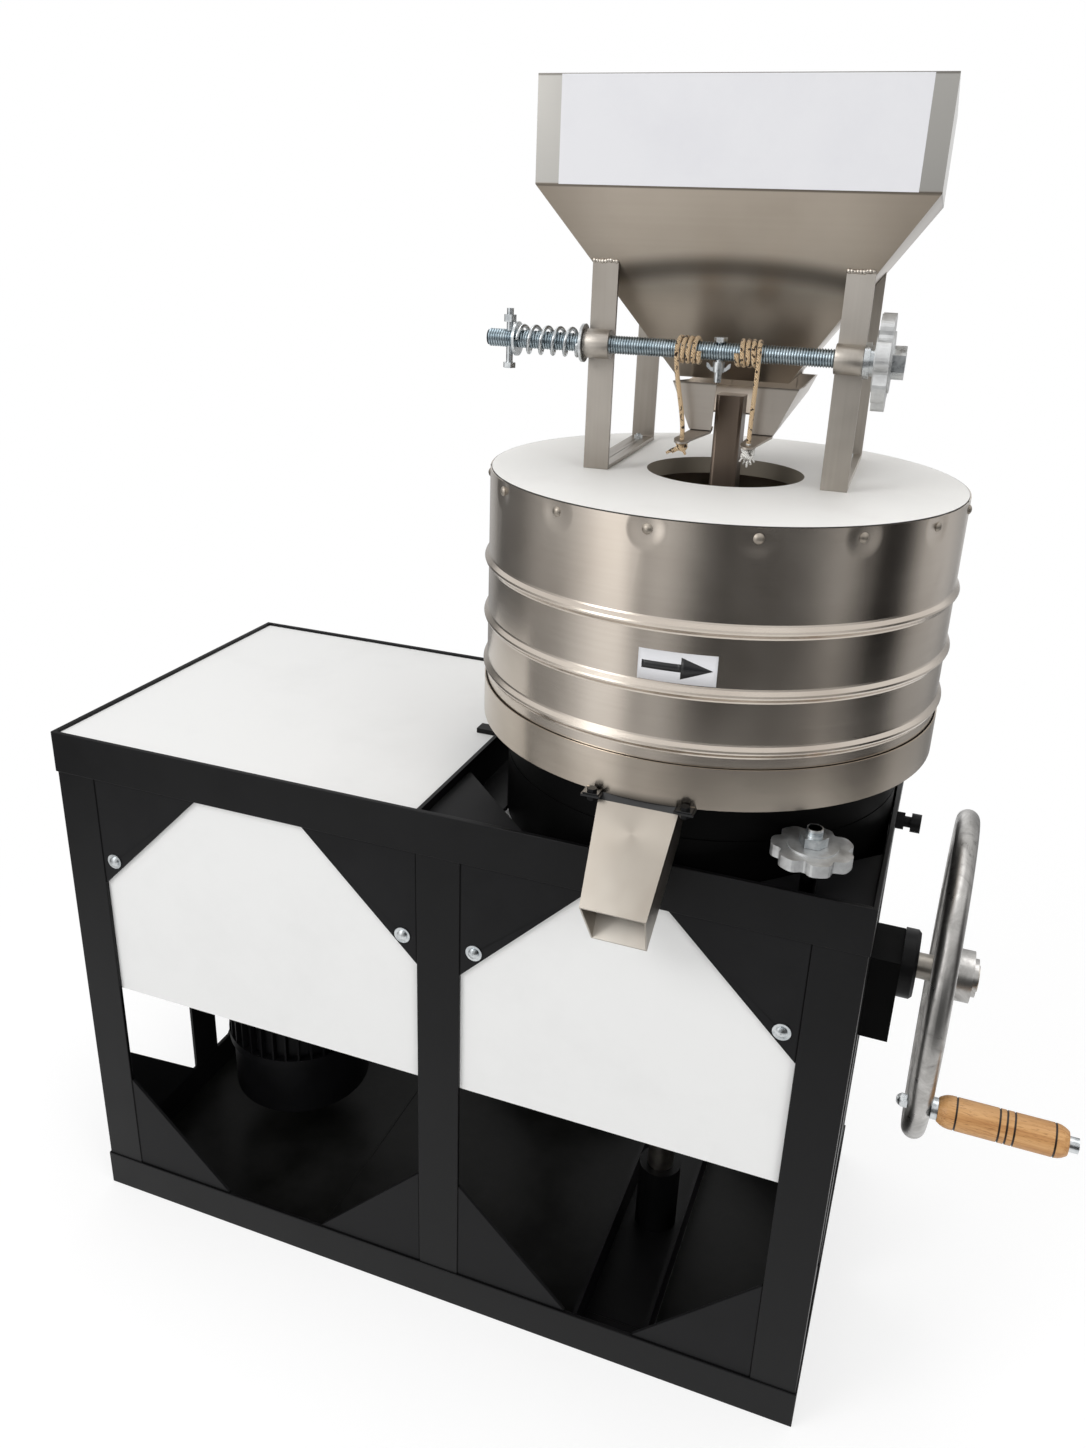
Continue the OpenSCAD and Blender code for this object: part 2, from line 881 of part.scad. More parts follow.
module clamp_bolt() {
    color("#161617") {
        along_x([drum_r + play, 0, clamp_z()])
            cylinder(r = clamp_r(), h = x1 + 18 - drum_r - play);
        along_x([x1, 0, clamp_z()])
            hexagon(21, 10);
        along_x([x1 + 18, 0, clamp_z()])
            cylinder(r = 12, h = 12);
    }
}

// Swell of a bead at a place from its lower to its upper edge
function bead_swell(s) = bead_proud * (1 - cos(360 * s)) / 2;

function casing_line(inset) = [
    [casing_r - inset, casing_z],
    for (level = bead_levels)
        for (k = [0:bead_steps])
            [casing_r - inset + bead_swell(k / bead_steps),
                drum_top + level + bead_w * (k / bead_steps - 0.5)],
    [casing_r - inset, cover_top - 1]];

function reversed(list) = [for (i = [len(list) - 1:-1:0]) list[i]];

module cover_screw_places() {
    for (i = [0:cover_screws_n - 1])
        rotate(cover_screw_turn + i * 360 / cover_screws_n)
            translate([0, -casing_r, cover_screw_z])
                rotate([90, 0, 0]) children();
}

module casing() {
    color("#b5aca0")
        difference() {
            rotate_extrude($fn = 96)
                polygon(concat(casing_line(0), reversed(casing_line(sheet))));
            cover_screw_places()
                cylinder(r = 2.5 + slip, h = 12, center = true);
        }
}

module casing_cover() {
    color("#e9e7e2")
        difference() {
            translate([0, 0, cover_top - cover_t])
                ring(cover_r, eye_r, cover_t);
            cover_screw_places()
                cylinder(r = 2.5 + slip, h = 40, center = true);
            on_casing() stand_bolt_places()
                cylinder(r = 3 + slip, h = 80, center = true);
        }
}

module cover_screws() {
    color("#c9c9c9")
        cover_screw_places() {
            translate([0, 0, -18])
                cylinder(r = 2.5, h = 18);
            intersection() {
                cylinder(r = 5.5, h = 4);
                translate([0, 0, -4])
                    sphere(r = 7);
            }
        }
}

// Full outside of the hopper
module hopper_outside() {
    translate([hopper_x, hopper_y, outlet_z])
        taper(outlet, outlet, hopper_w, hopper_d, funnel_h);
    translate([hopper_x - hopper_w / 2, hopper_y - hopper_d / 2, band_z])
        cube([hopper_w, hopper_d, band_h]);
}

module hopper_hollow() {
    t = 2 * hopper_sheet;
    translate([hopper_x, hopper_y, outlet_z])
        taper(outlet - t, outlet - t, hopper_w - t, hopper_d - t, funnel_h);
    translate([hopper_x - outlet / 2 + hopper_sheet, hopper_y - outlet / 2 + hopper_sheet, outlet_z - 1])
        cube([outlet - t, outlet - t, 2]);
    translate([hopper_x - hopper_w / 2 + hopper_sheet, hopper_y - hopper_d / 2 + hopper_sheet, band_z - eps])
        cube([hopper_w - t, hopper_d - t, band_h + 2]);
}

module hinge_lug() {
    rotate([90, 0, 90])
        linear_extrude(lug_t)
            polygon([[pin_y - 24, outlet_z + 2], [pin_y, outlet_z + 40], [pin_y + 9, outlet_z + 34],
                [pin_y + 9, pin_z - 9], [pin_y - 8, pin_z - 9], [pin_y - 8, outlet_z + 2]]);
}

module hopper() {
    color("#b5aca0")
        on_casing()
            difference() {
                union() {
                    hopper_outside();
                    for (x = [shoe_x - lug_x - lug_t, shoe_x + lug_x])
                        translate([x, 0, 0]) hinge_lug();
                }
                hopper_hollow();
                along_x([shoe_x - 60, pin_y, pin_z])
                    cylinder(r = pin_r + slip, h = 120);
            }
}

module stand_bolt_places() {
    for (x = [left_face + bar_w / 2, right_face - bar_w / 2])
        for (y = stand_bolts_y)
            translate([x, y, cover_top]) children();
}

module one_stand(x) {
    difference() {
        union() {
            translate([x, -stand_front, cover_top])
                cube([bar_w, stand_front + stand_rear, bar_t]);
            for (y = [-stand_front, stand_rear - bar_t])
                translate([x, y, cover_top])
                    cube([bar_w, bar_t, band_z - cover_top]);
            along_x([x, rod_y, rod_z])
                cylinder(r = sleeve_d / 2, h = bar_w);
        }
        hopper_outside();
        along_x([x - eps, rod_y, rod_z])
            cylinder(r = rod_r + slip, h = bar_w + 2 * eps);
        stand_bolt_places()
            cylinder(r = 3 + slip, h = 20, center = true);
    }
}

module hopper_stands() {
    color("#a9a49b")
        on_casing() {
            one_stand(left_face);
            one_stand(right_face - bar_w);
        }
}

module stand_bolts() {
    color("#c9c9c9")
        on_casing() stand_bolt_places() {
            translate([0, 0, bar_t])
                hexagon(10, 5);
            translate([0, 0, -cover_t - 10])
                cylinder(r = 3, h = cover_t + bar_t + 17);
            translate([0, 0, -cover_t - 5])
                hex_nut(10, 3, 5);
        }
}

module shoe_pin() {
    color("#9a9a98")
        on_casing() {
            along_x([shoe_x - lug_x - lug_t - 4, pin_y, pin_z])
                cylinder(r = pin_r, h = 2 * (lug_x + lug_t) + 12);
            along_x([shoe_x - lug_x - lug_t - 4 - 3, pin_y, pin_z])
                cylinder(r = pin_r + 2.5, h = 4);
        }
}

module hanger_places() {
    for (x = [-hanger_at[0], hanger_at[0]])
        for (y = [-hanger_at[1], hanger_at[1]])
            translate([motor_x + x, y, 0]) children();
}

module motor_mount() {
    color("#1c1c1e") {
        difference() {
            translate([motor_x - plate_half[0], -plate_half[1], plate_z])
                cube([2 * plate_half[0], 2 * plate_half[1], plate_t]);
            translate([motor_x, 0, plate_z - eps])
                cylinder(r = 60, h = plate_t + 2 * eps);
        }
        hanger_places()
            translate([0, 0, plate_z + plate_t])
                cylinder(r = hanger_r, h = rail_z - plate_z - plate_t);
        hanger_places()
            translate([0, 0, plate_z - 10])
                hexagon(24, 10);
    }
}

module motor_body() {
    fins = 36;
    low = motor_low + cowl_h;
    flange_z = motor_top - 17;
    color("#2b2d30")
        difference() {
            union() {
                translate([motor_x, 0, low]) {
                    cylinder(r = motor_r, h = 14);
                    cylinder(r = motor_core_r, h = flange_z - low);
                    for (i = [0:fins - 1])
                        rotate(i * 360 / fins)
                            translate([motor_core_r - 4, -1.5, 14])
                                cube([motor_r - motor_core_r + 3, 3, flange_z - low - 30]);
                }
                translate([motor_x, 0, flange_z])
                    cylinder(r = motor_r + 6, h = plate_z - flange_z);
                translate([motor_x - 45, motor_core_r - 20, low + 120])
                    cube([90, 65, 110]);
            }
            translate([motor_x, 0, low - eps])
                cylinder(r = motor_shaft_r + play, h = plate_z);
        }
}

module motor_cowl() {
    wall = 2;
    low = motor_low;
    color("#2b2d30")
        translate([motor_x, 0, low])
            difference() {
                cylinder(r = cowl_r, h = cowl_h);
                translate([0, 0, wall])
                    cylinder(r = cowl_r - wall, h = cowl_h);
                for (i = [0:11])
                    rotate(i * 30)
                        for (r = [45, 75])
                            translate([r, -4, -eps])
                                cube([22, 8, wall + 2 * eps]);
            }
}

// Outline of a belt round both pulleys, grown by a gap
module belt_outline(grow) {
    big = big_pulley_r + grow;
    small = small_pulley_r + grow;
    lean = (big_pulley_r - small_pulley_r) / -motor_x;
    n = [-lean, sqrt(1 - lean * lean)];
    m = [-lean, -sqrt(1 - lean * lean)];
    circle(r = big, $fn = 96);
    translate([motor_x, 0])
        circle(r = small);
    polygon([big * n, [motor_x, 0] + small * n, [motor_x, 0] + small * m, big * m]);
}

module drive_belt() {
    color("#18181a")
        translate([0, 0, belt_z])
            difference() {
                linear_extrude(belt_w)
                    belt_outline(belt_gap + belt_t);
                translate([0, 0, -eps])
                    linear_extrude(belt_w + 2 * eps)
                        belt_outline(belt_gap);
            }
}

module bearing_bracket() {
    low = bracket_z[0];
    height = bracket_z[1] - low;
    color("#1c1c1e")
        difference() {
            translate([bracket_x, -right_bar_w / 2, low])
                cube([bracket_t, right_bar_w, height]);
            translate([bracket_x - eps, -right_bar_w / 2 + leg_t, low - eps])
                cube([bracket_t - leg_t + eps, right_bar_w - 2 * leg_t, height - leg_t + eps]);
            along_x([bracket_x, 0, wheel_z])
                cylinder(r = wheel_shaft_r + 2, h = 2 * bracket_t);
        }
}

module bearing_housing() {
    color("#161617")
        along_x([housing_x, 0, wheel_z])
            difference() {
                rotate_extrude()
                    polygon([[0, 0], [housing_r, 0], [housing_r, housing_t - 4],
                        [housing_r - 4, housing_t], [0, housing_t]]);
                translate([0, 0, -eps])
                    cylinder(r = wheel_shaft_r + slip, h = housing_t + 2 * eps);
            }
}

module deck_stud() {
    color("#c9c9c9")
        translate(deck_knob_at) {
            translate([0, 0, deck_top])
                cylinder(r = deck_stud_r, h = deck_knob_z + 36 - deck_top);
            translate([0, 0, deck_knob_z - 6 - play - 10])
                hexagon(27, 10);
            translate([0, 0, deck_knob_z + knob_t + 2 + play])
                hexagon(27, 11);
        }
}

module deck_knob() {
    color("#b9babb")
        translate(deck_knob_at + [0, 0, deck_knob_z])
            rotate(-19)
                star_knob(deck_knob_r, deck_stud_r + slip, 6, 2);
}

// The free length of each cord, from the rod down to the shoe
function fall_path(from_x, to_x) = [for (s = [0:0.2:1])
    [from_x + (to_x - from_x) * s * s * (3 - 2 * s), fall_y,
        rod_z - cord_gap + (cord_end_z + play - rod_z + cord_gap) * s]];

module cord_falls() {
    color("#b79463")
        on_casing() {
            hanging(fall_path(left_cord_x, tab_x[0]));
            hanging(fall_path(right_cord_x, tab_x[1]));
        }
}

module feed_rod() {
    color("#b9babb")
        on_casing()
            difference() {
                along_x([rod_left, rod_y, rod_z])
                    cylinder(r = rod_r, h = rod_right - rod_left);
                for (x = [cross_x, hopper_x])
                    translate([x, rod_y, rod_z - rod_d])
                        cylinder(r = bolt_r + slip, h = 2 * rod_d);
            }
}

module feed_knob() {
    color("#b9babb")
        on_casing()
            along_x([feed_knob_x, rod_y, rod_z])
                star_knob(knob_r, rod_r + slip, 2, 2);
}

module feed_nut() {
    color("#c9c9c9")
        on_casing()
            along_x([knob_nut_x, rod_y, rod_z])
                hex_nut(30, rod_r + slip, 13);
}

module rod_washers() {
    color("#c9c9c9")
        on_casing() {
            for (x = [spring_right, spring_left - washer_t])
                along_x([x, rod_y, rod_z])
                    ring(washer_r - (x < spring_right ? 2 : 0), rod_r + slip, washer_t);
            along_x([flange_x, rod_y, rod_z])
                difference() {
                    union() {
                        cylinder(r = flange_r, h = 6);
                        cylinder(r = flange_r - 3, h = flange_t);
                    }
                    translate([0, 0, -eps])
                        cylinder(r = rod_r + slip, h = flange_t + 2 * eps);
                }
        }
}

module rod_spring() {
    span = spring_len - spring_wire;
    color("#c9c9c9")
        on_casing()
            translate([spring_left + spring_wire / 2, rod_y, rod_z])
                coil(spring_d / 2, span / spring_turns, spring_turns, 12, spring_wire / 2);
}

module cross_bolt() {
    color("#c9c9c9")
        on_casing()
            translate([cross_x, rod_y, rod_z]) {
                translate([0, 0, -rod_r - 17])
                    cylinder(r = bolt_r, h = 2 * rod_r + 40);
                translate([0, 0, -rod_r - 23])
                    hexagon(13, 6);
                translate([0, 0, rod_r + 8])
                    hex_nut(13, bolt_r, 8);
            }
}

module middle_bolt() {
    color("#c9c9c9")
        on_casing()
            translate([hopper_x, rod_y, rod_z]) {
                translate([0, 0, -rod_r - 23])
                    cylinder(r = bolt_r, h = 2 * rod_r + 24);
                translate([0, 0, rod_r])
                    hexagon(13, 5);
                translate([0, 0, -rod_r - 12])
                    cylinder(r = 6.5, h = 11);
                for (side = [0, 1])
                    mirror([side, 0, 0])
                        rotate([90, 0, 0])
                            linear_extrude(3, center = true)
                                polygon([[4, -rod_r - 11], [8, -rod_r - 11], [13, -rod_r - 7],
                                    [13.5, -rod_r - 2], [11, -rod_r - 3], [8, -rod_r - 7], [4, -rod_r - 7]]);
            }
}

module cord_turns_wound() {
    color("#b79463")
        on_casing() {
            translate([left_cord_x, rod_y, rod_z])
                coil(wind_r, cord_step, cord_turns, turn_rings, cord_d / 2);
            translate([right_cord_x, rod_y, rod_z])
                mirror([1, 0, 0])
                    coil(wind_r, cord_step, cord_turns, turn_rings, cord_d / 2);
        }
}

function shoe_under(y) = shoe_z + shoe_slope * (y + shoe_front);

module shoe_volume(t) {
    intersection() {
        rotate([90, 0, 90])
            linear_extrude(3 * shoe_top_w, center = true)
                polygon([[-shoe_front + t, shoe_z + t], [shoe_rear - t, shoe_under(shoe_rear) + t],
                    [shoe_rear - t, shoe_back_top + 30 * t], [20, shoe_back_top + 30 * t],
                    [-shoe_front + t, shoe_z + shoe_h + 30 * t]]);
        translate([shoe_x, 0, 0])
            rotate([90, 0, 0])
                linear_extrude(10 * shoe_front, center = true)
                    polygon([[-shoe_bottom_w / 2 + t, shoe_z], [shoe_bottom_w / 2 - t, shoe_z],
                        [shoe_top_w / 2 - t, shoe_z + shoe_h], [shoe_top_w / 2 - t, shoe_z + 3 * shoe_h],
                        [-shoe_top_w / 2 + t, shoe_z + 3 * shoe_h], [-shoe_top_w / 2 + t, shoe_z + shoe_h]]);
    }
}

module shoe_tab(x) {
    thick = 2.5;
    side = sign(x);
    inner = shoe_x + side * shoe_gap_low / 2;
    outer = shoe_x + side * (shoe_bottom_w / 2 - 1);
    end_y = tab_hole_y - 9;
    end_z = cord_end_z - 3;
    intersection() {
        translate([x, 0, 0])
            rotate([90, 0, 90])
                linear_extrude(90, center = true)
                    polygon([[-20, shoe_under(-20) + 0.2], [-55, shoe_under(-55) + 0.2],
                        [end_y, end_z], [end_y, end_z - thick],
                        [-55, shoe_under(-55) - thick], [-20, shoe_under(-20) - thick]]);
        translate([0, 0, shoe_z - 60])
            linear_extrude(120) {
                polygon([[inner, tab_rear], [inner, -shoe_front], [x - side * 9, tab_hole_y],
                    [x + side * 9, tab_hole_y], [outer, -shoe_front], [outer, tab_rear]]);
                translate([x, tab_hole_y])
                    circle(r = 9);
            }
    }
}

module shoe_ear(x) {
    difference() {
        union() {
            along_x([x, pin_y, pin_z])
                cylinder(r = 8, h = 3.6);
            translate([x, shoe_rear - 6, pin_z - 8])
                cube([3.6, 18, 16]);
        }
        along_x([x - 1, pin_y, pin_z])
            cylinder(r = pin_r + slip, h = 6);
    }
}

module shoe() {
    color("#a9a49b")
        on_casing()
            difference() {
                union() {
                    difference() {
                        shoe_volume(0);
                        shoe_volume(chute_sheet);
                        translate([shoe_x, -shoe_front + 15, 0])
                            rotate([90, 0, 0])
                                linear_extrude(25)
                                    polygon([[-shoe_gap_low / 2, shoe_z - 5], [shoe_gap_low / 2, shoe_z - 5],
                                        [shoe_gap / 2, shoe_z + 100], [-shoe_gap / 2, shoe_z + 100]]);
                        translate([shoe_x - 37, -50, shoe_z - 10])
                            cube([56, 75, 30]);
                    }
                    for (x = tab_x)
                        shoe_tab(x);
                    shoe_ear(shoe_x - lug_x + 0.4);
                    shoe_ear(shoe_x + lug_x - 4);
                }
                for (x = tab_x)
                    translate([x, tab_hole_y, shoe_z - 40])
                        cylinder(r = cord_d / 2 + play, h = 60);
            }
}

module cord_knots() {
    color("#b79463")
        on_casing()
            for (x = tab_x)
                translate([x, tab_hole_y, 0]) {
                    translate([0, 0, knot_z])
                        cylinder(r = cord_d / 2, h = cord_end_z - knot_z);
                    translate([0, 0, knot_z])
                        sphere(r = cord_d * 1.05);
                    translate([0, 0, knot_z - 16])
                        cylinder(r = cord_d / 2, h = 14);
                }
}

module handwheel() {
    color("#8d8f91")
        difference() {
            union() {
                translate([wheel_x, 0, wheel_z])
                    rotate([0, 0, -wheel_lean]) {
                        rotate([0, 90, 0])
                            rotate_extrude($fn = 96)
                                translate([wheel_r, 0])
                                    circle(d = rim_d, $fn = 32);
                        for (i = [0:2])
                            rotate([grip_angle + 60 + i * 120, 0, 0])
                                translate([0, 0, -wheel_r])
                                    cylinder(r = 10, h = wheel_r - 20);
                    }
                along_x([hub_x[0], 0, wheel_z])
                    cylinder(r = 34, h = hub_x[1] - hub_x[0]);
                along_x([hub_x[1], 0, wheel_z])
                    cylinder(r = 25, h = 6);
            }
            along_x([wheel_x - 60, 0, wheel_z])
                cylinder(r = wheel_shaft_r + slip, h = 160);
            along_x([wheel_x - 60, grip_y, grip_z])
                cylinder(r = grip_bolt_r + slip, h = 160);
            along_x([rim_x + rim_d / 2 - seat, grip_y, grip_z])
                cylinder(r = 13 + slip, h = 40);
            along_x([rim_x - rim_d / 2 + seat - 40, grip_y, grip_z])
                cylinder(r = 9.5, h = 40);
        }
}

module wheel_shaft() {
    color("#a7a39b") {
        along_x([thread_root_x, 0, wheel_z])
            cylinder(r = wheel_shaft_r, h = hub_x[1] + 8 - thread_root_x);
        along_x([thread_x, 0, wheel_z])
            cylinder(r = thread_r, h = thread_root_x - thread_x);
        along_x([right_inside - panel_t - 20, 0, wheel_z])
            cylinder(r = wheel_shaft_r + 9, h = 18);
    }
}

module grip_bolt() {
    inner_x = rim_x - rim_d / 2 + seat;
    color("#c4c6c8") {
        along_x([inner_x - 12, grip_y, grip_z])
            cylinder(r = grip_bolt_r, h = grip_end + 5 - inner_x + 12);
        along_x([inner_x - 8, grip_y, grip_z])
            hexagon(15, 8);
        along_x([inner_x - 13, grip_y, grip_z])
            intersection() {
                cylinder(r = 7, h = 6);
                translate([0, 0, 7])
                    sphere(r = 7.5);
            }
        along_x([rim_x + rim_d / 2 - seat, grip_y, grip_z])
            ring(13, grip_bolt_r, 7.2);
        along_x([grip_end + play, grip_y, grip_z])
            cylinder(r = 9, h = 11);
    }
}

// Turned outline of the grip with its rounded ends
function grip_radius(s) = let (d = min(s, grip_len - s)) d < 14
    ? grip_d / 2 - 5.5 * pow(1 - d / 14, 2) : grip_d / 2;

module crank_grip() {
    color("#c99a5f")
        along_x([grip_x, grip_y, grip_z])
            difference() {
                rotate_extrude()
                    polygon(concat([[grip_bolt_r + slip, 0]],
                        [for (s = [0, 2, 5, 9, 14, grip_len - 14, grip_len - 9, grip_len - 5,
                            grip_len - 2, grip_len]) [grip_radius(s), s]],
                        [[grip_bolt_r + slip, grip_len]]));
                for (s = grip_grooves)
                    translate([0, 0, s * grip_len / 143 - 1])
                        ring(grip_d, grip_d / 2 - 0.8, 2);
            }
}

function slope_z(x) = wedge_mid_z + wedge_slope * x;

module lift_wedge() {
    color("#4a4a4c")
        difference() {
            rotate([90, 0, 0])
                linear_extrude(wedge_w, center = true)
                    polygon([[wedge_x[0], wedge_z], [wedge_x[1], wedge_z], [wedge_x[1], nut_block_top],
                        [nut_block_x, nut_block_top], [nut_block_x, slope_z(nut_block_x)],
                        [wedge_x[0], slope_z(wedge_x[0])]]);
            translate([wedge_x[0] - 1, -fork_r, wedge_z - 1])
                cube([fork_x - wedge_x[0] + 1, 2 * fork_r, nut_block_top - wedge_z + 2]);
            along_x([nut_block_x - 1, 0, wheel_z])
                cylinder(r = thread_r + slip, h = 60);
        }
}

module lift_sleeve() {
    color("#4a4a4c")
        difference() {
            union() {
                translate([0, 0, sleeve_z[0]])
                    cylinder(r = sleeve_r, h = sleeve_z[1] - sleeve_z[0]);
                rotate([90, 0, 0])
                    linear_extrude(wedge_w, center = true)
                        polygon([[-foot_x, slope_z(-foot_x) + play], [foot_x, slope_z(foot_x) + play],
                            [foot_x, foot_top], [-foot_x, foot_top]]);
            }
            translate([0, 0, sleeve_z[0] - eps])
                cylinder(r = spindle_r + slip, h = sleeve_z[1] - sleeve_z[0] + 2 * eps);
        }
}

module spindle() {
    color("#8f8d88") {
        translate([0, 0, guide_bottom + play])
            cylinder(r = spindle_r, h = spindle_top - guide_bottom - play);
        translate([0, 0, collar_z])
            cylinder(r = collar_r, h = collar_h);
    }
}

module spindle_pulley() {
    rim = 10;
    color("#5a5b5d")
        translate([0, 0, pulley_z])
            difference() {
                cylinder(r = big_pulley_r, h = pulley_h, $fn = 96);
                translate([0, 0, pulley_h / 2 + 6])
                    ring(big_pulley_r - rim, 45, pulley_h);
                translate([0, 0, -pulley_h / 2 - 6])
                    ring(big_pulley_r - rim, 45, pulley_h);
                for (i = [0:4])
                    rotate(i * 72)
                        translate([108, 0, -eps])
                            cylinder(r = 34, h = pulley_h);
                translate([0, 0, -eps])
                    cylinder(r = spindle_r + slip, h = pulley_h + 2 * eps);
            }
}

module runner_stone() {
    color("#b9b2a4")
        difference() {
            translate([0, 0, runner_z])
                ring(runner_r, runner_eye_r, runner_h);
            translate([0, 0, driver_bar_z + driver_bar[2] / 2])
                cube([driver_bar[0] + 1, driver_bar[1] + 0.4, driver_bar[2] + 0.4], center = true);
            furrow_cuts(runner_z - 0.01, -1);
        }
}

module stone_driver() {
    color("#3a3a3c")
        difference() {
            union() {
                translate([0, 0, driver_z])
                    cylinder(r = driver_r, h = driver_h);
                translate([0, 0, driver_bar_z + driver_bar[2] / 2])
                    cube(driver_bar, center = true);
            }
            translate([0, 0, driver_z - eps])
                cylinder(r = spindle_r + slip, h = spindle_top - driver_z + eps);
        }
}

module rounded_square(side, round) {
    square([side, side - 2 * round], center = true);
    square([side - 2 * round, side], center = true);
    for (x = [-1, 1])
        for (y = [-1, 1])
            translate([x * (side / 2 - round), y * (side / 2 - round)])
                circle(r = round, $fn = 24);
}

module damsel_bar() {
    inner = damsel - 2 * damsel_wall;
    color("#8a7f72")
        translate([0, 0, damsel_z])
            difference() {
                linear_extrude(damsel_top - damsel_z)
                    rounded_square(damsel, damsel_round);
                translate([0, 0, -eps])
                    linear_extrude(damsel_top - damsel_z - 4)
                        rounded_square(inner, damsel_round - damsel_wall);
            }
}

module motor_shaft() {
    low = motor_low + cowl_h + 6;
    color("#8f8d88")
        translate([motor_x, 0, low])
            cylinder(r = motor_shaft_r, h = pulley_z + pulley_h - low);
}

module motor_pulley() {
    color("#5a5b5d")
        translate([motor_x, 0, belt_z - 4])
            ring(small_pulley_r, motor_shaft_r + slip, belt_w + 8);
}

top_frame();
bottom_frame();
frame_posts();
gussets();
floor_sheet();
spindle_footing();
front_panels();
back_panels();
end_panels();
top_panel();
panel_screws();
panel_clip();
bridge_beam();
stone_drum();
bed_stone();
spindle_bush();
pan_ring();
chute();
chute_bolts();
clamp_bolt();
casing();
casing_cover();
cover_screws();
hopper();
hopper_stands();
stand_bolts();
shoe_pin();
motor_mount();
motor_body();
motor_cowl();
drive_belt();
bearing_bracket();
bearing_housing();
deck_stud();
cord_falls();
feed_rod();
feed_knob();
feed_nut();
rod_washers();
rod_spring();
cross_bolt();
middle_bolt();
cord_turns_wound();
shoe();
cord_knots();
deck_knob();
handwheel();
wheel_shaft();
grip_bolt();
crank_grip();
lift_wedge();
lift_sleeve();
spindle();
spindle_pulley();
runner_stone();
stone_driver();
damsel_bar();
motor_shaft();
motor_pulley();
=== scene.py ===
import math
import random

import bmesh
import bpy
from mathutils import Matrix, Vector


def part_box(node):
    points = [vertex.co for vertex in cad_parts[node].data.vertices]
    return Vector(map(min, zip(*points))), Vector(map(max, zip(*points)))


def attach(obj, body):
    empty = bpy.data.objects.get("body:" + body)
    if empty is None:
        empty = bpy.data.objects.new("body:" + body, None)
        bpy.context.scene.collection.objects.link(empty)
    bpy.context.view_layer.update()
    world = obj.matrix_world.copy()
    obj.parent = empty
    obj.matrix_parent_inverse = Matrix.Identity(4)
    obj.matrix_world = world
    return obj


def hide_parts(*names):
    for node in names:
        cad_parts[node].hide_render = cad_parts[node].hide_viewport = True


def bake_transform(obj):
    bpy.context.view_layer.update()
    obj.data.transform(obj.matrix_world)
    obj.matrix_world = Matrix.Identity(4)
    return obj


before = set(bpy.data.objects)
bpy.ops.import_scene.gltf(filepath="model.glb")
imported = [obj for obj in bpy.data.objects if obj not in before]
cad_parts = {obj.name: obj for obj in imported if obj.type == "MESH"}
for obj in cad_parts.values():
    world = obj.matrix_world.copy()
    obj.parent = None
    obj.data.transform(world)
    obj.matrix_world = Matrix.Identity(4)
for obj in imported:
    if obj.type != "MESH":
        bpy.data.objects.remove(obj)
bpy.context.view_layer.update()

# Real sizes and places on the mill, in metres, in the frame of its CAD model
MM = 0.001
HOPPER_TURN = math.radians(2.4)

# The pan, the casing and its cover
PAN_R = 0.285
PAN_TOP = 0.9330
CASING_R = 0.282
EYE_R = 0.0935
COVER_EDGE = (0.2796, 0.2802)
COVER_SCREWS = 16
COVER_SCREW_Z = 1.183
FIRST_SCREW_TURN = -math.pi / 2 + math.radians(-3.3)
CHUTE_X = -0.004
CHUTE_HALF_WIDTH = 0.0465
CHUTE_LIP_Z = 0.8770

# The hopper: the fold between its funnel and its upright rim, and the painted dark reflection band on the
# funnel
FOLD_Z = 1.501
RIM_LIP = (FOLD_Z + 0.1022, FOLD_Z + 0.1036)
BAND_Z = 1.425
BAND_SAG = 0.66
FUNNEL_FRONT_Y = -0.012
HOPPER_POSTS_X = (-0.160, 0.118)
POST_WELD_Y, POST_WELD_Z = -0.0605, 1.4262

# The feed rod, its thread and its spring
ROD_LEFT, ROD_Y, ROD_Z = -0.277, -0.076, 1.339
ROD_LEN, ROD_R = 0.4663, 0.010
ROD_PITCH, ROD_THREAD = 3.0 * MM, 1.6 * MM
SPRING_LEFT, SPRING_LEN = -0.2403, 0.077
SPRING_R, SPRING_WIRE, SPRING_TURNS = 14.5 * MM, 2.2 * MM, 5

# The cords: where each one starts on the rod and which way it winds, and its tab on the shoe
CORD_R = 0.0026
WIND_R = 0.0127
CORD_STARTS = {"left": (-0.0515, 1), "right": (0.039, -1)}
CORD_STEP = 0.0062
CORD_TURNS = 4
TAB_X = {"left": -0.038, "right": 0.037}
TAB_TOP = 1.244
FALL_Y = -0.0887
KNOT_TOP = 1.241
SHOE_LIP = (1.3002, 1.3022)

# The knots, in millimetres: the bulk of each, and its loose ends as three distances and a thickness
KNOT_BULK = {"left": 4.2, "right": 5.2}
KNOT_ENDS = {
    "left": [(-10, -4, -9, 2.2), (-17, 1, -11, 2.0), (6, -5, -10, 1.8)],
    "right": [(5, -4, -15, 1.4), (-4, 3, -17, 1.3), (8, 1, -13, 1.5), (-8, -3, -13, 1.2), (1, -5, -18, 1.3),
              (3, 4, -16, 1.2)]}

# The frame: the edges of its corner plates, the seam in its floor and the stud of its deck knob
BAY_EDGES_X = (-0.778, -0.287, -0.227, 0.198)
BAY_EDGES_Z = (0.060, 0.740)
END_EDGE_Y = 0.202
FLOOR_SEAM_X = -0.475
STUD_TOP = (0.182, -0.240, 0.8613)
STUD_R, STUD_SHOWS = 9.25 * MM, 8.7 * MM
STUD_PITCH, STUD_THREAD = 2 * MM, 0.9 * MM
STUD_BLACK_FOOT = (0.836, 0.838)

# The wooden grip starts here; its burnt grooves are this many millimetres further along
GRIP_X = 0.36241
BURNT_GROOVES = (20, 67.5, 75.5, 84, 128)

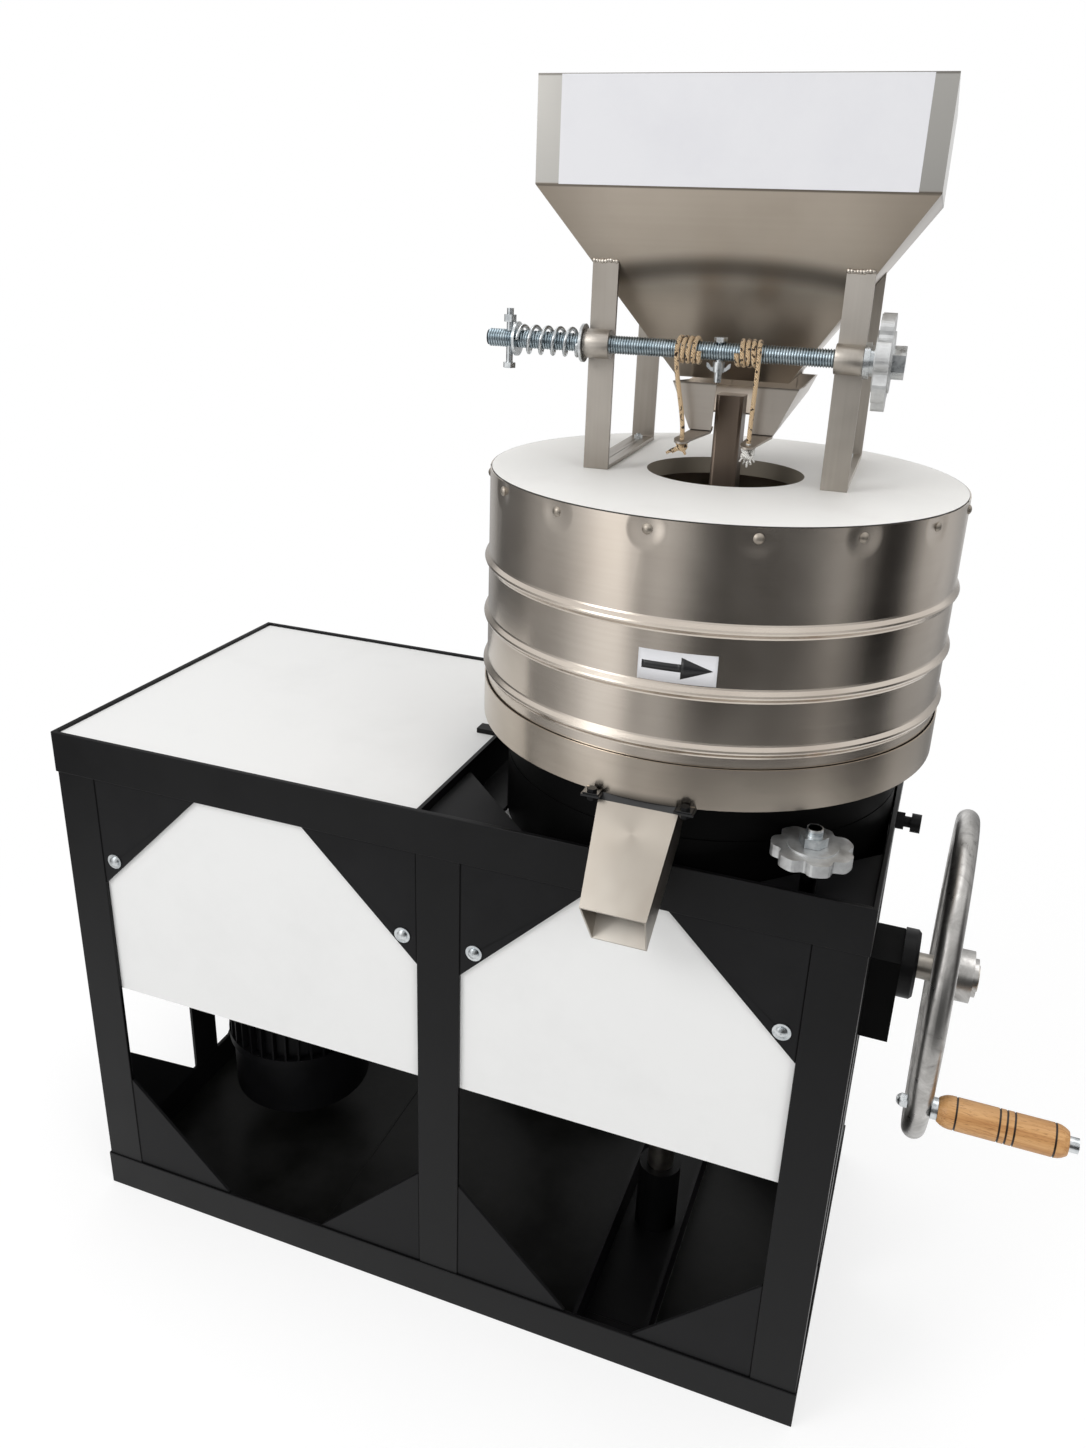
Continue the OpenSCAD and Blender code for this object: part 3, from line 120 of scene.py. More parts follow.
# The two labels. One is turned round the casing by degrees, and its arrow is drawn in shares of its size
BLANK_LABEL_SIZE = (0.368, 0.3 * MM, 0.1035)
BLANK_LABEL_PLACE = (-0.004, -0.1102, 1.5535)
TURNING_LABEL_TURN = (-3.3, 13.6)
TURNING_LABEL_Z = (1.025, 1.0585)
ARROW = [(0.05, 0.13), (0.55, 0.13), (0.55, 0.36), (0.95, 0.0), (0.55, -0.36), (0.55, -0.13), (0.05, -0.13)]

rng = random.Random(7)


# The camera

def look_from_the_photo():
    """Camera where the photograph was taken, fitted to the frame's edges and the round casing."""
    data = bpy.data.cameras.new("photo_camera")
    camera = bpy.data.objects.new("photo_camera", data)
    bpy.context.scene.collection.objects.link(camera)
    right = Vector((0.9350, 0.3530, 0.0343)).normalized()
    forward = Vector((-0.3154, 0.8717, -0.3751)).normalized()
    up = right.cross(forward).normalized()
    turn = Matrix((right, up, -forward)).transposed().to_4x4()
    camera.matrix_world = Matrix.Translation((0.2720, -1.3602, 1.4508)) @ turn
    data.sensor_fit = "VERTICAL"
    data.sensor_height = 24.0
    # the focal length was fitted in pixels, in a photograph 1448 pixels high
    data.lens = 1136.1 / 1448 * 24.0
    data.shift_x = -0.00117
    data.shift_y = -0.01996
    data.clip_start = 0.05
    data.clip_end = 60.0
    bpy.context.scene.camera = camera


# The finishes

def linear(colour):
    """An sRGB hex colour as the linear colour that the shaders take."""
    parts = [int(colour[i:i + 2], 16) / 255 for i in (1, 3, 5)]
    return tuple(c / 12.92 if c <= 0.04045 else ((c + 0.055) / 1.055) ** 2.4 for c in parts) + (1.0,)


def add(tree, kind, settings=None):
    """One node. A setting is a socket to link, a number, a hex colour, or a ramp's stops with colours."""
    node = tree.nodes.new(kind)
    for key, value in (settings or {}).items():
        if key == "stops":
            ramp = node.color_ramp
            while len(ramp.elements) < len(value):
                ramp.elements.new(0.5)
            for element, (place, colour) in zip(ramp.elements, value):
                element.position = place
                element.color = linear(colour) if isinstance(colour, str) else (colour, colour, colour, 1)
            continue
        if isinstance(value, bpy.types.NodeSocket):
            tree.links.new(value, node.inputs[key])
            continue
        if isinstance(value, str) and value.startswith("#"):
            value = linear(value)
        if isinstance(key, int) or key in node.inputs:
            node.inputs[key].default_value = value
        else:
            setattr(node, key, value)
    return node


def new_finish(name, settings):
    """A material with one shader, and the object's own coordinates in metres."""
    material = bpy.data.materials.new(name)
    material.use_nodes = True
    tree = material.node_tree
    tree.nodes.clear()
    shader = add(tree, "ShaderNodeBsdfPrincipled", settings)
    add(tree, "ShaderNodeOutputMaterial", {"Surface": shader.outputs["BSDF"]})
    place = add(tree, "ShaderNodeTexCoord").outputs["Object"]
    return material, tree, shader, place


def mottled_finish(name, settings, patches, stops, gloss, grain, relief):
    """A finish whose soft patches change its colour and its gloss, with a finer grain raised over it."""
    material, tree, shader, place = new_finish(name, settings)
    cloud = add(tree, "ShaderNodeTexNoise", {**patches, "Vector": place}).outputs["Fac"]
    tint = add(tree, "ShaderNodeValToRGB", {"stops": stops, "Fac": cloud})
    tree.links.new(tint.outputs["Color"], shader.inputs["Base Color"])
    dull = add(tree, "ShaderNodeMapRange", {"From Min": 0.3, "From Max": 0.7, "To Min": gloss[0],
                                            "To Max": gloss[1], "Value": cloud})
    tree.links.new(dull.outputs["Result"], shader.inputs["Roughness"])
    fine = add(tree, "ShaderNodeTexNoise", {**grain, "Vector": place})
    raised = add(tree, "ShaderNodeBump", {"Strength": relief[0], "Distance": relief[1],
                                          "Height": fine.outputs["Fac"]})
    tree.links.new(raised.outputs["Normal"], shader.inputs["Normal"])
    return material


def satin_paint(name, dark, light, rough, shine):
    """Sprayed satin enamel on rolled steel: faint cloudy gloss and an orange peel of about 1.5 mm."""
    return mottled_finish(
        name, {"Specular IOR Level": shine}, {"Scale": 9.0, "Detail": 5.0, "Roughness": 0.6},
        [(0.35, dark), (0.7, light)], (rough - 0.06, rough + 0.08), {"Scale": 650.0, "Detail": 2.0},
        (0.12, 0.0004))


def laminate_board(name, pale, shade, rough):
    """Melamine-faced board: a smooth white skin with slight handling marks and a pebble of about 1 mm."""
    return mottled_finish(
        name, {"Specular IOR Level": 0.2, "IOR": 1.5}, {"Scale": 5.5, "Detail": 6.0, "Roughness": 0.65},
        [(0.25, shade), (0.5, pale)], (rough, rough + 0.12), {"Scale": 1000.0, "Detail": 1.0},
        (0.06, 0.0003))


def zinc_plate(name, dark, light, rough):
    """Bright zinc on steel fasteners: a cool grey with small cloudy patches and fine pits."""
    return mottled_finish(
        name, {"Metallic": 1.0}, {"Scale": 90.0, "Detail": 4.0, "Roughness": 0.6},
        [(0.35, dark), (0.65, light)], (rough - 0.06, rough + 0.1), {"Scale": 1400.0, "Detail": 2.0},
        (0.1, 0.0002))


def cast_aluminium():
    """Sand-cast aluminium knob, tumbled: pale grey, softly mottled, with a grain of about 0.7 mm."""
    return mottled_finish(
        "tumbled_cast_aluminium", {"Metallic": 1.0}, {"Scale": 60.0, "Detail": 5.0, "Roughness": 0.65},
        [(0.3, "#b9baba"), (0.7, "#dadbdb")], (0.42, 0.56), {"Scale": 1400.0, "Detail": 2.0},
        (0.25, 0.0003))


def handled_tube_steel():
    """Bare tube steel of the wheel, worn bright by hands, with darker mill scale left in streaks."""
    return mottled_finish(
        "handled_tube_steel", {"Metallic": 1.0},
        {"Scale": 26.0, "Detail": 7.0, "Roughness": 0.7, "Distortion": 1.2},
        [(0.28, "#6a6967"), (0.4, "#a3a19e"), (0.7, "#c4c2bf")], (0.42, 0.24),
        {"Scale": 320.0, "Detail": 4.0}, (0.12, 0.0004))


def plain_rough(name, dark, light, rough, metal=0.0, grain=500.0):
    """A plain workshop surface, such as machined iron, moulded rubber or bronze, with its own grain."""
    return mottled_finish(
        name, {"Metallic": metal}, {"Scale": 24.0, "Detail": 6.0, "Roughness": 0.65},
        [(0.32, dark), (0.68, light)], (rough - 0.06, rough + 0.08), {"Scale": grain, "Detail": 3.0},
        (0.25, 0.0005))


def brushed_stainless(name, dark, light, rough, stretch, grain=(3.0, 3.0, 260.0), dents=False):
    """Stainless sheet brushed level with the floor: long fine lines, warm tone, faint smudges from hands.

    A steel's roughness stays on one side of about 0.274, because where it crosses that value the denoised
    picture shows faint squiggles like lettering. So rough is 0.24 at most, or 0.32 at least.
    """
    material, tree, shader, place = new_finish(name, {"Metallic": 1.0, "Anisotropic": stretch,
                                                      "Anisotropic Rotation": 0.25})
    round_axis = add(tree, "ShaderNodeTangent", {"direction_type": "RADIAL", "axis": "Z"})
    tree.links.new(round_axis.outputs["Tangent"], shader.inputs["Tangent"])
    along = add(tree, "ShaderNodeMapping", {"Scale": grain, "Vector": place})
    lines = add(tree, "ShaderNodeTexNoise", {"Scale": 1.0, "Detail": 1.0, "Roughness": 0.5,
                                             "Vector": along.outputs["Vector"]})
    smudge = add(tree, "ShaderNodeTexNoise", {"Scale": 6.0, "Detail": 3.0, "Roughness": 0.5,
                                              "Distortion": 0.3, "Vector": place})
    both = add(tree, "ShaderNodeMath", {"operation": "MULTIPLY_ADD", 0: lines.outputs["Fac"], 1: 0.10,
                                        2: smudge.outputs["Fac"]}).outputs[0]
    tint = add(tree, "ShaderNodeValToRGB", {"stops": [(0.25, dark), (0.80, light)], "Fac": both})
    tree.links.new(tint.outputs["Color"], shader.inputs["Base Color"])
    dull = add(tree, "ShaderNodeMapRange", {"From Min": 0.30, "From Max": 0.80, "To Min": rough - 0.04,
                                            "To Max": rough + 0.03, "Value": both})
    tree.links.new(dull.outputs["Result"], shader.inputs["Roughness"])
    # sheet of this thickness is never quite flat: slow waves some 200 mm long
    waves = add(tree, "ShaderNodeTexNoise", {"Scale": 5.0, "Detail": 1.0, "Vector": place})
    slow = add(tree, "ShaderNodeBump", {"Strength": 0.3, "Distance": 0.006, "Height": waves.outputs["Fac"]})
    last = screw_dents(tree, slow) if dents else slow
    tree.links.new(last.outputs["Normal"], shader.inputs["Normal"])
    return material


def shader_in(tree):
    """The one shader of a finish."""
    return next(node for node in tree.nodes if node.bl_idname == "ShaderNodeBsdfPrincipled")


def place_in(tree):
    """Where a point of the finish lies on the mill, as an X, a Y and a Z."""
    place = next(node for node in tree.nodes if node.bl_idname == "ShaderNodeTexCoord").outputs["Object"]
    return add(tree, "ShaderNodeSeparateXYZ", {"Vector": place}).outputs


def far_from(tree, value, middle):
    """How far a value lies from a middle, to either side."""
    off = add(tree, "ShaderNodeMath", {"operation": "SUBTRACT", 0: value, 1: middle})
    return add(tree, "ShaderNodeMath", {"operation": "ABSOLUTE", 0: off.outputs[0]}).outputs[0]


def far_from_spindle(tree, place):
    """How far a point lies from the spindle's axis."""
    level = add(tree, "ShaderNodeCombineXYZ", {"X": place["X"], "Y": place["Y"]})
    return add(tree, "ShaderNodeVectorMath", {"operation": "LENGTH", 0: level.outputs[0]}).outputs["Value"]


def tint_over(tree, colour, amount):
    """Lays a colour over a finish, by an amount from 0 to 1."""
    wanted = shader_in(tree).inputs["Base Color"]
    mixed = add(tree, "ShaderNodeMix", {"data_type": "RGBA", 0: amount, 6: wanted.links[0].from_socket,
                                        7: colour})
    tree.links.new(mixed.outputs[2], wanted)


def stain(tree, colour, value, span, strength, where=None):
    """Lays a colour over a finish, with a strength that changes smoothly as a value runs through a span.

    A mask of ones and noughts can keep it to one region.
    """
    amount = add(tree, "ShaderNodeMapRange", {
        "interpolation_type": "SMOOTHSTEP", "From Min": span[0], "From Max": span[1], "To Min": strength[0],
        "To Max": strength[1], "Value": value}).outputs["Result"]
    if where:
        amount = add(tree, "ShaderNodeMath", {"operation": "MULTIPLY", 0: amount, 1: where}).outputs[0]
    tint_over(tree, colour, amount)


def blacken_without_metal(tree, where):
    """Makes a finish black with no metal in it, where a mask is one: for black tabs, and for painted shadow.
    """
    tint_over(tree, "#101011", where)
    bare = add(tree, "ShaderNodeMath", {"operation": "SUBTRACT", 0: 1.0, 1: where})
    tree.links.new(bare.outputs[0], shader_in(tree).inputs["Metallic"])


def screw_dents(tree, before):
    """The shallow pull of each cover screw in the thin casing, a dip 48 mm wide."""
    place = place_in(tree)
    spacing = math.tau / COVER_SCREWS
    # the angle is counted from so many whole spacings back that it is never below nought
    start = FIRST_SCREW_TURN - 20 * spacing - spacing / 2
    angle = add(tree, "ShaderNodeMath", {"operation": "ARCTAN2", 0: place["Y"], 1: place["X"]})
    moved = add(tree, "ShaderNodeMath", {"operation": "SUBTRACT", 0: angle.outputs[0], 1: start})
    part = add(tree, "ShaderNodeMath", {"operation": "MODULO", 0: moved.outputs[0], 1: spacing})
    side = add(tree, "ShaderNodeMath", {"operation": "SUBTRACT", 0: part.outputs[0], 1: spacing / 2})
    across = add(tree, "ShaderNodeMath", {"operation": "MULTIPLY", 0: side.outputs[0], 1: CASING_R})
    high = add(tree, "ShaderNodeMath", {"operation": "SUBTRACT", 0: place["Z"], 1: COVER_SCREW_Z})
    flat = add(tree, "ShaderNodeCombineXYZ", {"X": across.outputs[0], "Y": high.outputs[0]})
    far = add(tree, "ShaderNodeVectorMath", {"operation": "LENGTH", 0: flat.outputs[0]})
    dip = add(tree, "ShaderNodeMapRange", {"interpolation_type": "SMOOTHSTEP", "From Min": 0.004,
                                           "From Max": 0.024, "Value": far.outputs["Value"]})
    return add(tree, "ShaderNodeBump", {"Strength": 0.75, "Distance": 0.0024, "Height": dip.outputs["Result"],
                                        "Normal": before.outputs["Normal"]})


def hopper_with_painted_reflection_band():
    """The hopper's steel, with a painted dark reflection band across the front of the funnel."""
    material = brushed_stainless("brushed_stainless_hopper", "#a49a8e", "#bbb1a5", 0.34, stretch=0.5)
    tree = material.node_tree
    place = place_in(tree)
    # the painted reflection band sags 8 mm to its ends, 110 mm either side of the middle
    squared = add(tree, "ShaderNodeMath", {"operation": "POWER", 0: place["X"], 1: 2.0})
    sag = add(tree, "ShaderNodeMath", {"operation": "MULTIPLY", 0: squared.outputs[0], 1: BAND_SAG})
    height = add(tree, "ShaderNodeMath", {"operation": "ADD", 0: place["Z"], 1: sag.outputs[0]}).outputs[0]
    front = add(tree, "ShaderNodeMath", {"operation": "LESS_THAN", 0: place["Y"], 1: FUNNEL_FRONT_Y})
    # painted reflection: a dark band across the front of the funnel
    stain(tree, "#39342e", far_from(tree, height, BAND_Z), (0.001, 0.019), (0.72, 0.0), front.outputs[0])
    # painted shade: the funnel is darker towards its corners than in its middle
    # the darkening is kept below the fold
    below = add(tree, "ShaderNodeMath", {"operation": "LESS_THAN", 0: place["Z"], 1: FOLD_Z - 0.001})
    stain(tree, "#6f665a", far_from(tree, place["X"], 0.0), (0.10, 0.21), (0.0, 0.55), below.outputs[0])
    # the upright rim sheet is a cooler grey than the funnel
    stain(tree, "#b3b4b2", place["Z"], (FOLD_Z, FOLD_Z + 0.003), (0.0, 0.7))
    # the welded fold under the rim sheet, and the turned rim, keep a thin dull line
    stain(tree, "#4a443c", far_from(tree, place["Z"], FOLD_Z), (0.0006, 0.0022), (0.75, 0.0))
    stain(tree, "#544e46", place["Z"], RIM_LIP, (0.0, 0.6))
    return material


def casing_in_its_pan():
    """The casing's brushed steel, with painted shade where it stands down in the pan."""
    material = brushed_stainless("brushed_stainless_casing", "#b5aa9e", "#d3cabf", 0.23, dents=True,
                                 stretch=0.5)
    tree = material.node_tree
    # painted shade: the casing is darkened below the top of the pan
    stain(tree, "#26221e", place_in(tree)["Z"], (PAN_TOP - 0.0005, PAN_TOP + 0.0012), (0.85, 0.0))
    return material


def shoe_with_painted_lip_shadow():
    """The shoe's brushed steel with a painted shadow line along its sheared lip."""
    material = brushed_stainless("brushed_stainless_shoe", "#a39b93", "#bdb6ad", 0.36,
                                 grain=(8.0, 8.0, 300.0), stretch=0.4)
    tree = material.node_tree
    # painted shadow: a dark line along the top edge of the shoe's plates
    stain(tree, "#4a443c", place_in(tree)["Z"], SHOE_LIP, (0.0, 0.75))
    return material


def drawn_bar_steel():
    """The stands' drawn flat bar, grained along the bar. The left one is darkened with painted shade, as in
    the photograph.
    """
    material = brushed_stainless("drawn_flat_bar_steel", "#9b948b", "#d8d2ca", 0.42,
                                 grain=(300.0, 300.0, 8.0), stretch=0.3)
    tree = material.node_tree
    # painted shade: the left stand is tinted darker than the right
    stain(tree, "#6f675e", place_in(tree)["X"], (-0.05, 0.05), (0.45, 0.0))
    return material


def gusset_enamel_with_painted_seam_shade():
    """The gussets' black enamel, with painted shade in the seams where the plates meet the posts and the
    rails.
    """
    material = satin_paint("satin_black_gusset_enamel", "#171718", "#1e1e1f", 0.45, 0.10)
    tree = material.node_tree
    place = place_in(tree)
    # the level plates close under the rim get no painted seam shade
    upright = add(tree, "ShaderNodeMath", {"operation": "LESS_THAN", 0: place["Z"],
                                           1: BAY_EDGES_Z[1] + 0.005})
    # painted shade: near-black lines along the edges of the upright plates
    for axis, edges in {"X": BAY_EDGES_X, "Z": BAY_EDGES_Z, "Y": (-END_EDGE_Y, END_EDGE_Y)}.items():
        for edge in edges:
            stain(tree, "#020202", far_from(tree, place[axis], edge), (0.0012, 0.0020), (1.0, 0.0),
                  upright.outputs[0])
    return material


def pan_with_black_tabs():
    """The pan ring's brushed steel: its tabs are black, and painted shade sits above the chute."""
    material = brushed_stainless("brushed_stainless_pan", "#a89d90", "#c9bfb2", 0.24, stretch=0.5)
    tree = material.node_tree
    place = place_in(tree)
    # painted shade: the pan's lower edge is darkened in front, above the chute
    near = add(tree, "ShaderNodeMapRange", {
        "interpolation_type": "SMOOTHSTEP", "From Min": 0.040, "From Max": 0.060, "To Min": 1.0,
        "To Max": 0.0, "Value": far_from(tree, place["X"], CHUTE_X)})
    front = add(tree, "ShaderNodeMath", {"operation": "LESS_THAN", 0: place["Y"], 1: -0.2})
    painted_shade_near_chute = add(tree, "ShaderNodeMath", {"operation": "MULTIPLY", 0: near.outputs["Result"],
                                        1: front.outputs[0]})
    stain(tree, "#1a1917", place["Z"], (0.881, 0.896), (0.9, 0.0), painted_shade_near_chute.outputs[0])
    tabs = add(tree, "ShaderNodeMath", {"operation": "GREATER_THAN", 0: far_from_spindle(tree, place),
                                        1: PAN_R + 0.0006})
    blacken_without_metal(tree, tabs.outputs[0])
    return material


def chute_with_black_tabs():
    """The chute's brushed steel, brighter towards its mouth; its tabs are black, and its lip under the pan is
    black with painted shadow.
    """
    material = brushed_stainless("brushed_stainless_chute", "#9f968b", "#cdc7be", 0.40,
                                 grain=(60.0, 60.0, 9.0), stretch=0.3)
    tree = material.node_tree
    place = place_in(tree)
    stain(tree, "#7d756b", place["Z"], (0.74, 0.85), (0.0, 0.55))
    tabs = add(tree, "ShaderNodeMath", {"operation": "GREATER_THAN", 0: far_from(tree, place["X"], CHUTE_X),
                                        1: CHUTE_HALF_WIDTH})
    # painted shadow: the lip under the pan is turned black
    lip = add(tree, "ShaderNodeMath", {"operation": "GREATER_THAN", 0: place["Z"], 1: CHUTE_LIP_Z})
    black = add(tree, "ShaderNodeMath", {"operation": "MAXIMUM", 0: tabs.outputs[0], 1: lip.outputs[0]})
    blacken_without_metal(tree, black.outputs[0])
    return material


def cover_with_grey_eye_wall():
    """The cover's white melamine: the wall of its eye is a dull warm grey, and its outer edge carries a ring
    of painted shade.
    """
    material = laminate_board("white_melamine_cover", "#f4f3f0", "#eeece9", 0.48)
    tree = material.node_tree
    away = far_from_spindle(tree, place_in(tree))
    wall = add(tree, "ShaderNodeMath", {"operation": "LESS_THAN", 0: away, 1: EYE_R + 0.0004})
    tint_over(tree, "#8c8477", wall.outputs[0])
    # painted shade: a dark ring at the cover's outer edge, where it meets the casing
    stain(tree, "#3a3835", away, COVER_EDGE, (0.0, 1.0))
    return material


def stud_with_black_foot():
    """The deck stud's bright zinc, turned black below the knob."""
    material = zinc_plate("bright_zinc_stud", "#aeb3b6", "#d8dbdc", 0.34)
    tree = material.node_tree
    stain(tree, "#050505", place_in(tree)["Z"], STUD_BLACK_FOOT, (1.0, 0.0))
    return material


def zinc_thread():
    """The zinc of a cut thread, bluish on its crests and darker in its roots."""
    material = zinc_plate("blue_zinc_plated_thread", "#8f9fa8", "#b9c6cd", 0.30)
    tree = material.node_tree
    root = add(tree, "ShaderNodeAttribute", {"attribute_name": "root"})
    stain(tree, "#2f3a40", root.outputs["Fac"], (0.1, 0.9), (0.0, 0.9))
    return material


def turned_beech():
    """Turned and oiled beech: straight grain along the grip, short dark flecks, and burnt grooves."""
    material, tree, shader, place = new_finish("turned_oiled_beech", {"Specular IOR Level": 0.45, "IOR": 1.5})
    grain = add(tree, "ShaderNodeMapping", {"Scale": (9.0, 150.0, 150.0), "Vector": place})
    fibre = add(tree, "ShaderNodeTexNoise", {"Scale": 1.0, "Detail": 7.0, "Roughness": 0.6, "Distortion": 0.8,
                                             "Vector": grain.outputs["Vector"]}).outputs["Fac"]
    fleck = add(tree, "ShaderNodeMapping", {"Scale": (120.0, 900.0, 900.0), "Vector": place})
    flecks = add(tree, "ShaderNodeTexNoise", {"Scale": 1.0, "Detail": 2.0, "Vector": fleck.outputs["Vector"]})
    stops = [(0.28, "#ad7845"), (0.5, "#c89760"), (0.75, "#daac78")]
    tint = add(tree, "ShaderNodeValToRGB", {"stops": stops, "Fac": fibre})
    dark = add(tree, "ShaderNodeValToRGB", {"stops": [(0.30, 0.55), (0.42, 0.0)],
                                            "Fac": flecks.outputs["Fac"]})
    wood = add(tree, "ShaderNodeMix", {"data_type": "RGBA", 0: dark.outputs["Color"],
                                       6: tint.outputs["Color"], 7: "#7c4a20"})
    tree.links.new(wood.outputs[2], shader.inputs["Base Color"])
    # each burnt groove is some 2 mm wide
    along = place_in(tree)["X"]
    burnt = 0.0
    for groove in BURNT_GROOVES:
        inside = add(tree, "ShaderNodeMapRange", {
            "From Min": 0.0009, "From Max": 0.0014, "To Min": 1.0, "To Max": 0.0,
            "Value": far_from(tree, along, GRIP_X + groove * MM)})
        burnt = add(tree, "ShaderNodeMath", {"operation": "MAXIMUM", 0: burnt,
                                             1: inside.outputs["Result"]}).outputs[0]
    tint_over(tree, "#20140a", burnt)
    gloss = add(tree, "ShaderNodeMapRange", {"To Min": 0.52, "To Max": 0.36, "Value": fibre})
    tree.links.new(gloss.outputs["Result"], shader.inputs["Roughness"])
    relief = add(tree, "ShaderNodeBump", {"Strength": 0.18, "Distance": 0.0004, "Height": fibre})
    tree.links.new(relief.outputs["Normal"], shader.inputs["Normal"])
    return material


def braided_cord(name, pale, deep, fleck):
    """Braided cord with a dark tracer: strands about 1.2 mm wide, flecks of 2 mm and a soft, dry surface."""
    material, tree, shader, place = new_finish(name, {"Roughness": 0.9, "Sheen Weight": 0.2,
                                                      "Specular IOR Level": 0.2})
    strands = add(tree, "ShaderNodeTexWave", {
        "wave_type": "BANDS", "bands_direction": "DIAGONAL", "Scale": 230.0, "Distortion": 1.2, "Detail": 2.0,
        "Vector": place}).outputs["Fac"]
    patches = add(tree, "ShaderNodeTexNoise", {"Scale": 260.0, "Detail": 1.0, "Roughness": 0.4,
                                               "Vector": place})
    tint = add(tree, "ShaderNodeValToRGB", {"stops": [(0.15, deep), (0.6, pale)], "Fac": strands})
    tree.links.new(tint.outputs["Color"], shader.inputs["Base Color"])
    tracer = add(tree, "ShaderNodeValToRGB", {"stops": [(0.60, 0.0), (0.63, 1.0)],
                                              "Fac": patches.outputs["Fac"]})
    tint_over(tree, fleck, tracer.outputs["Color"])
    relief = add(tree, "ShaderNodeBump", {"Strength": 0.8, "Distance": 0.0006, "Height": strands})
    tree.links.new(relief.outputs["Normal"], shader.inputs["Normal"])
    return material


def dressed_millstone():
    """Millstone of granular quartz: warm grey with open pores of a few millimetres and pale grit."""
    material, tree, shader, place = new_finish("granular_millstone", {"Roughness": 0.85})
    grit = add(tree, "ShaderNodeTexVoronoi", {"Scale": 260.0, "Vector": place})
    cloud = add(tree, "ShaderNodeTexNoise", {"Scale": 30.0, "Detail": 8.0, "Roughness": 0.7, "Vector": place})
    stops = [(0.3, "#7d7466"), (0.55, "#a89e8d"), (0.8, "#c9c1b2")]
    tint = add(tree, "ShaderNodeValToRGB", {"stops": stops, "Fac": cloud.outputs["Fac"]})
    tree.links.new(tint.outputs["Color"], shader.inputs["Base Color"])
    relief = add(tree, "ShaderNodeBump", {"Strength": 0.7, "Distance": 0.002,
                                          "Height": grit.outputs["Distance"]})
    tree.links.new(relief.outputs["Normal"], shader.inputs["Normal"])
    return material


black_paint = satin_paint("satin_black_enamel", "#0b0b0c", "#121213", 0.40, 0.17)
# painted shade: a darker copy of the black enamel for the deck, the drum and the bearing bracket
deck_black_with_painted_shade = satin_paint("black_deck_enamel_with_painted_shade", "#050505", "#080808", 0.50, 0.05)
floor_paint = satin_paint("worn_black_floor_enamel", "#111110", "#222221", 0.33, 0.12)
gusset_paint = gusset_enamel_with_painted_seam_shade()
motor_paint = satin_paint("dark_motor_enamel", "#0a0a0b", "#121214", 0.50, 0.12)
white_board = laminate_board("white_melamine_board", "#ebebea", "#e7e7e6", 0.45)
cover_board = cover_with_grey_eye_wall()
label_film = laminate_board("blank_white_label_film", "#dfdfe2", "#dadade", 0.40)
casing_steel = casing_in_its_pan()
pan_steel = pan_with_black_tabs()
hopper_steel = hopper_with_painted_reflection_band()
chute_steel = chute_with_black_tabs()
shoe_steel = shoe_with_painted_lip_shadow()
bar_steel = drawn_bar_steel()
damsel_steel = brushed_stainless("worn_square_bar_steel", "#5d5148", "#84776b", 0.42,
                                 grain=(260.0, 260.0, 9.0), stretch=0.4)
cover_zinc = zinc_plate("dull_stainless_button_head", "#8f877d", "#aaa297", 0.42)
zinc = zinc_plate("bright_zinc_plate", "#aeb3b6", "#d8dbdc", 0.27)
blue_zinc = zinc_thread()
stud_zinc = stud_with_black_foot()
knob_aluminium = cast_aluminium()
wheel_steel = handled_tube_steel()
hub_steel = plain_rough("turned_hub_steel", "#8f8a83", "#b5afa6", 0.34, 1.0)
beech = turned_beech()
tan_cord = braided_cord("tan_braided_cord", "#d6bd9a", "#a98b66", "#2a1d13")
white_cord = braided_cord("white_cord_end", "#efeeea", "#b9b6b0", "#6f6a64")
stone = dressed_millstone()
black_rubber = plain_rough("moulded_black_rubber", "#0c0c0c", "#161616", 0.7)
machined_iron = plain_rough("machined_grey_iron", "#3c3b3a", "#5c5a57", 0.45, 1.0)
bronze = plain_rough("turned_bronze", "#8a6636", "#b48c50", 0.35, 1.0)
weld_steel = plain_rough("ground_weld_steel", "#a59d93", "#d9d2c8", 0.35, 1.0, 900.0)
arrow_black = plain_rough("printed_black_film", "#101012", "#18181b", 0.4)

FINISHES = {
    "top_frame": black_paint, "bottom_frame": black_paint, "frame_posts": black_paint,
    "gussets": gusset_paint, "floor_sheet": floor_paint, "spindle_footing": black_paint,
    "front_panels": white_board, "back_panels": white_board, "end_panels": white_board,
    "top_panel": white_board, "panel_screws": zinc, "panel_clip": black_paint, "bridge_beam": black_paint,
    "stone_drum": deck_black_with_painted_shade, "bed_stone": stone, "spindle_bush": bronze, "pan_ring": pan_steel,
    "chute": chute_steel, "chute_bolts": black_paint, "clamp_bolt": black_paint, "casing": casing_steel,
    "casing_cover": cover_board, "cover_screws": cover_zinc, "hopper": hopper_steel,
    "hopper_stands": bar_steel, "stand_bolts": zinc, "shoe_pin": zinc, "motor_mount": black_paint,
    "motor_body": motor_paint, "motor_cowl": motor_paint, "drive_belt": black_rubber,
    "bearing_bracket": deck_black_with_painted_shade, "bearing_housing": black_paint, "deck_stud": stud_zinc,
    "feed_knob": knob_aluminium, "feed_nut": zinc, "rod_washers": zinc, "cross_bolt": zinc,
    "middle_bolt": zinc, "shoe": shoe_steel, "deck_knob": knob_aluminium, "handwheel": wheel_steel,
    "wheel_shaft": hub_steel, "grip_bolt": zinc, "crank_grip": beech, "lift_wedge": machined_iron,
    "lift_sleeve": machined_iron, "spindle": hub_steel, "spindle_pulley": machined_iron,
    "runner_stone": stone, "stone_driver": machined_iron, "damsel_bar": damsel_steel,
    "motor_shaft": hub_steel, "motor_pulley": machined_iron, "feed_rod": blue_zinc, "rod_spring": zinc,
    "cord_turns_wound": tan_cord, "cord_falls": tan_cord, "cord_knots": tan_cord}


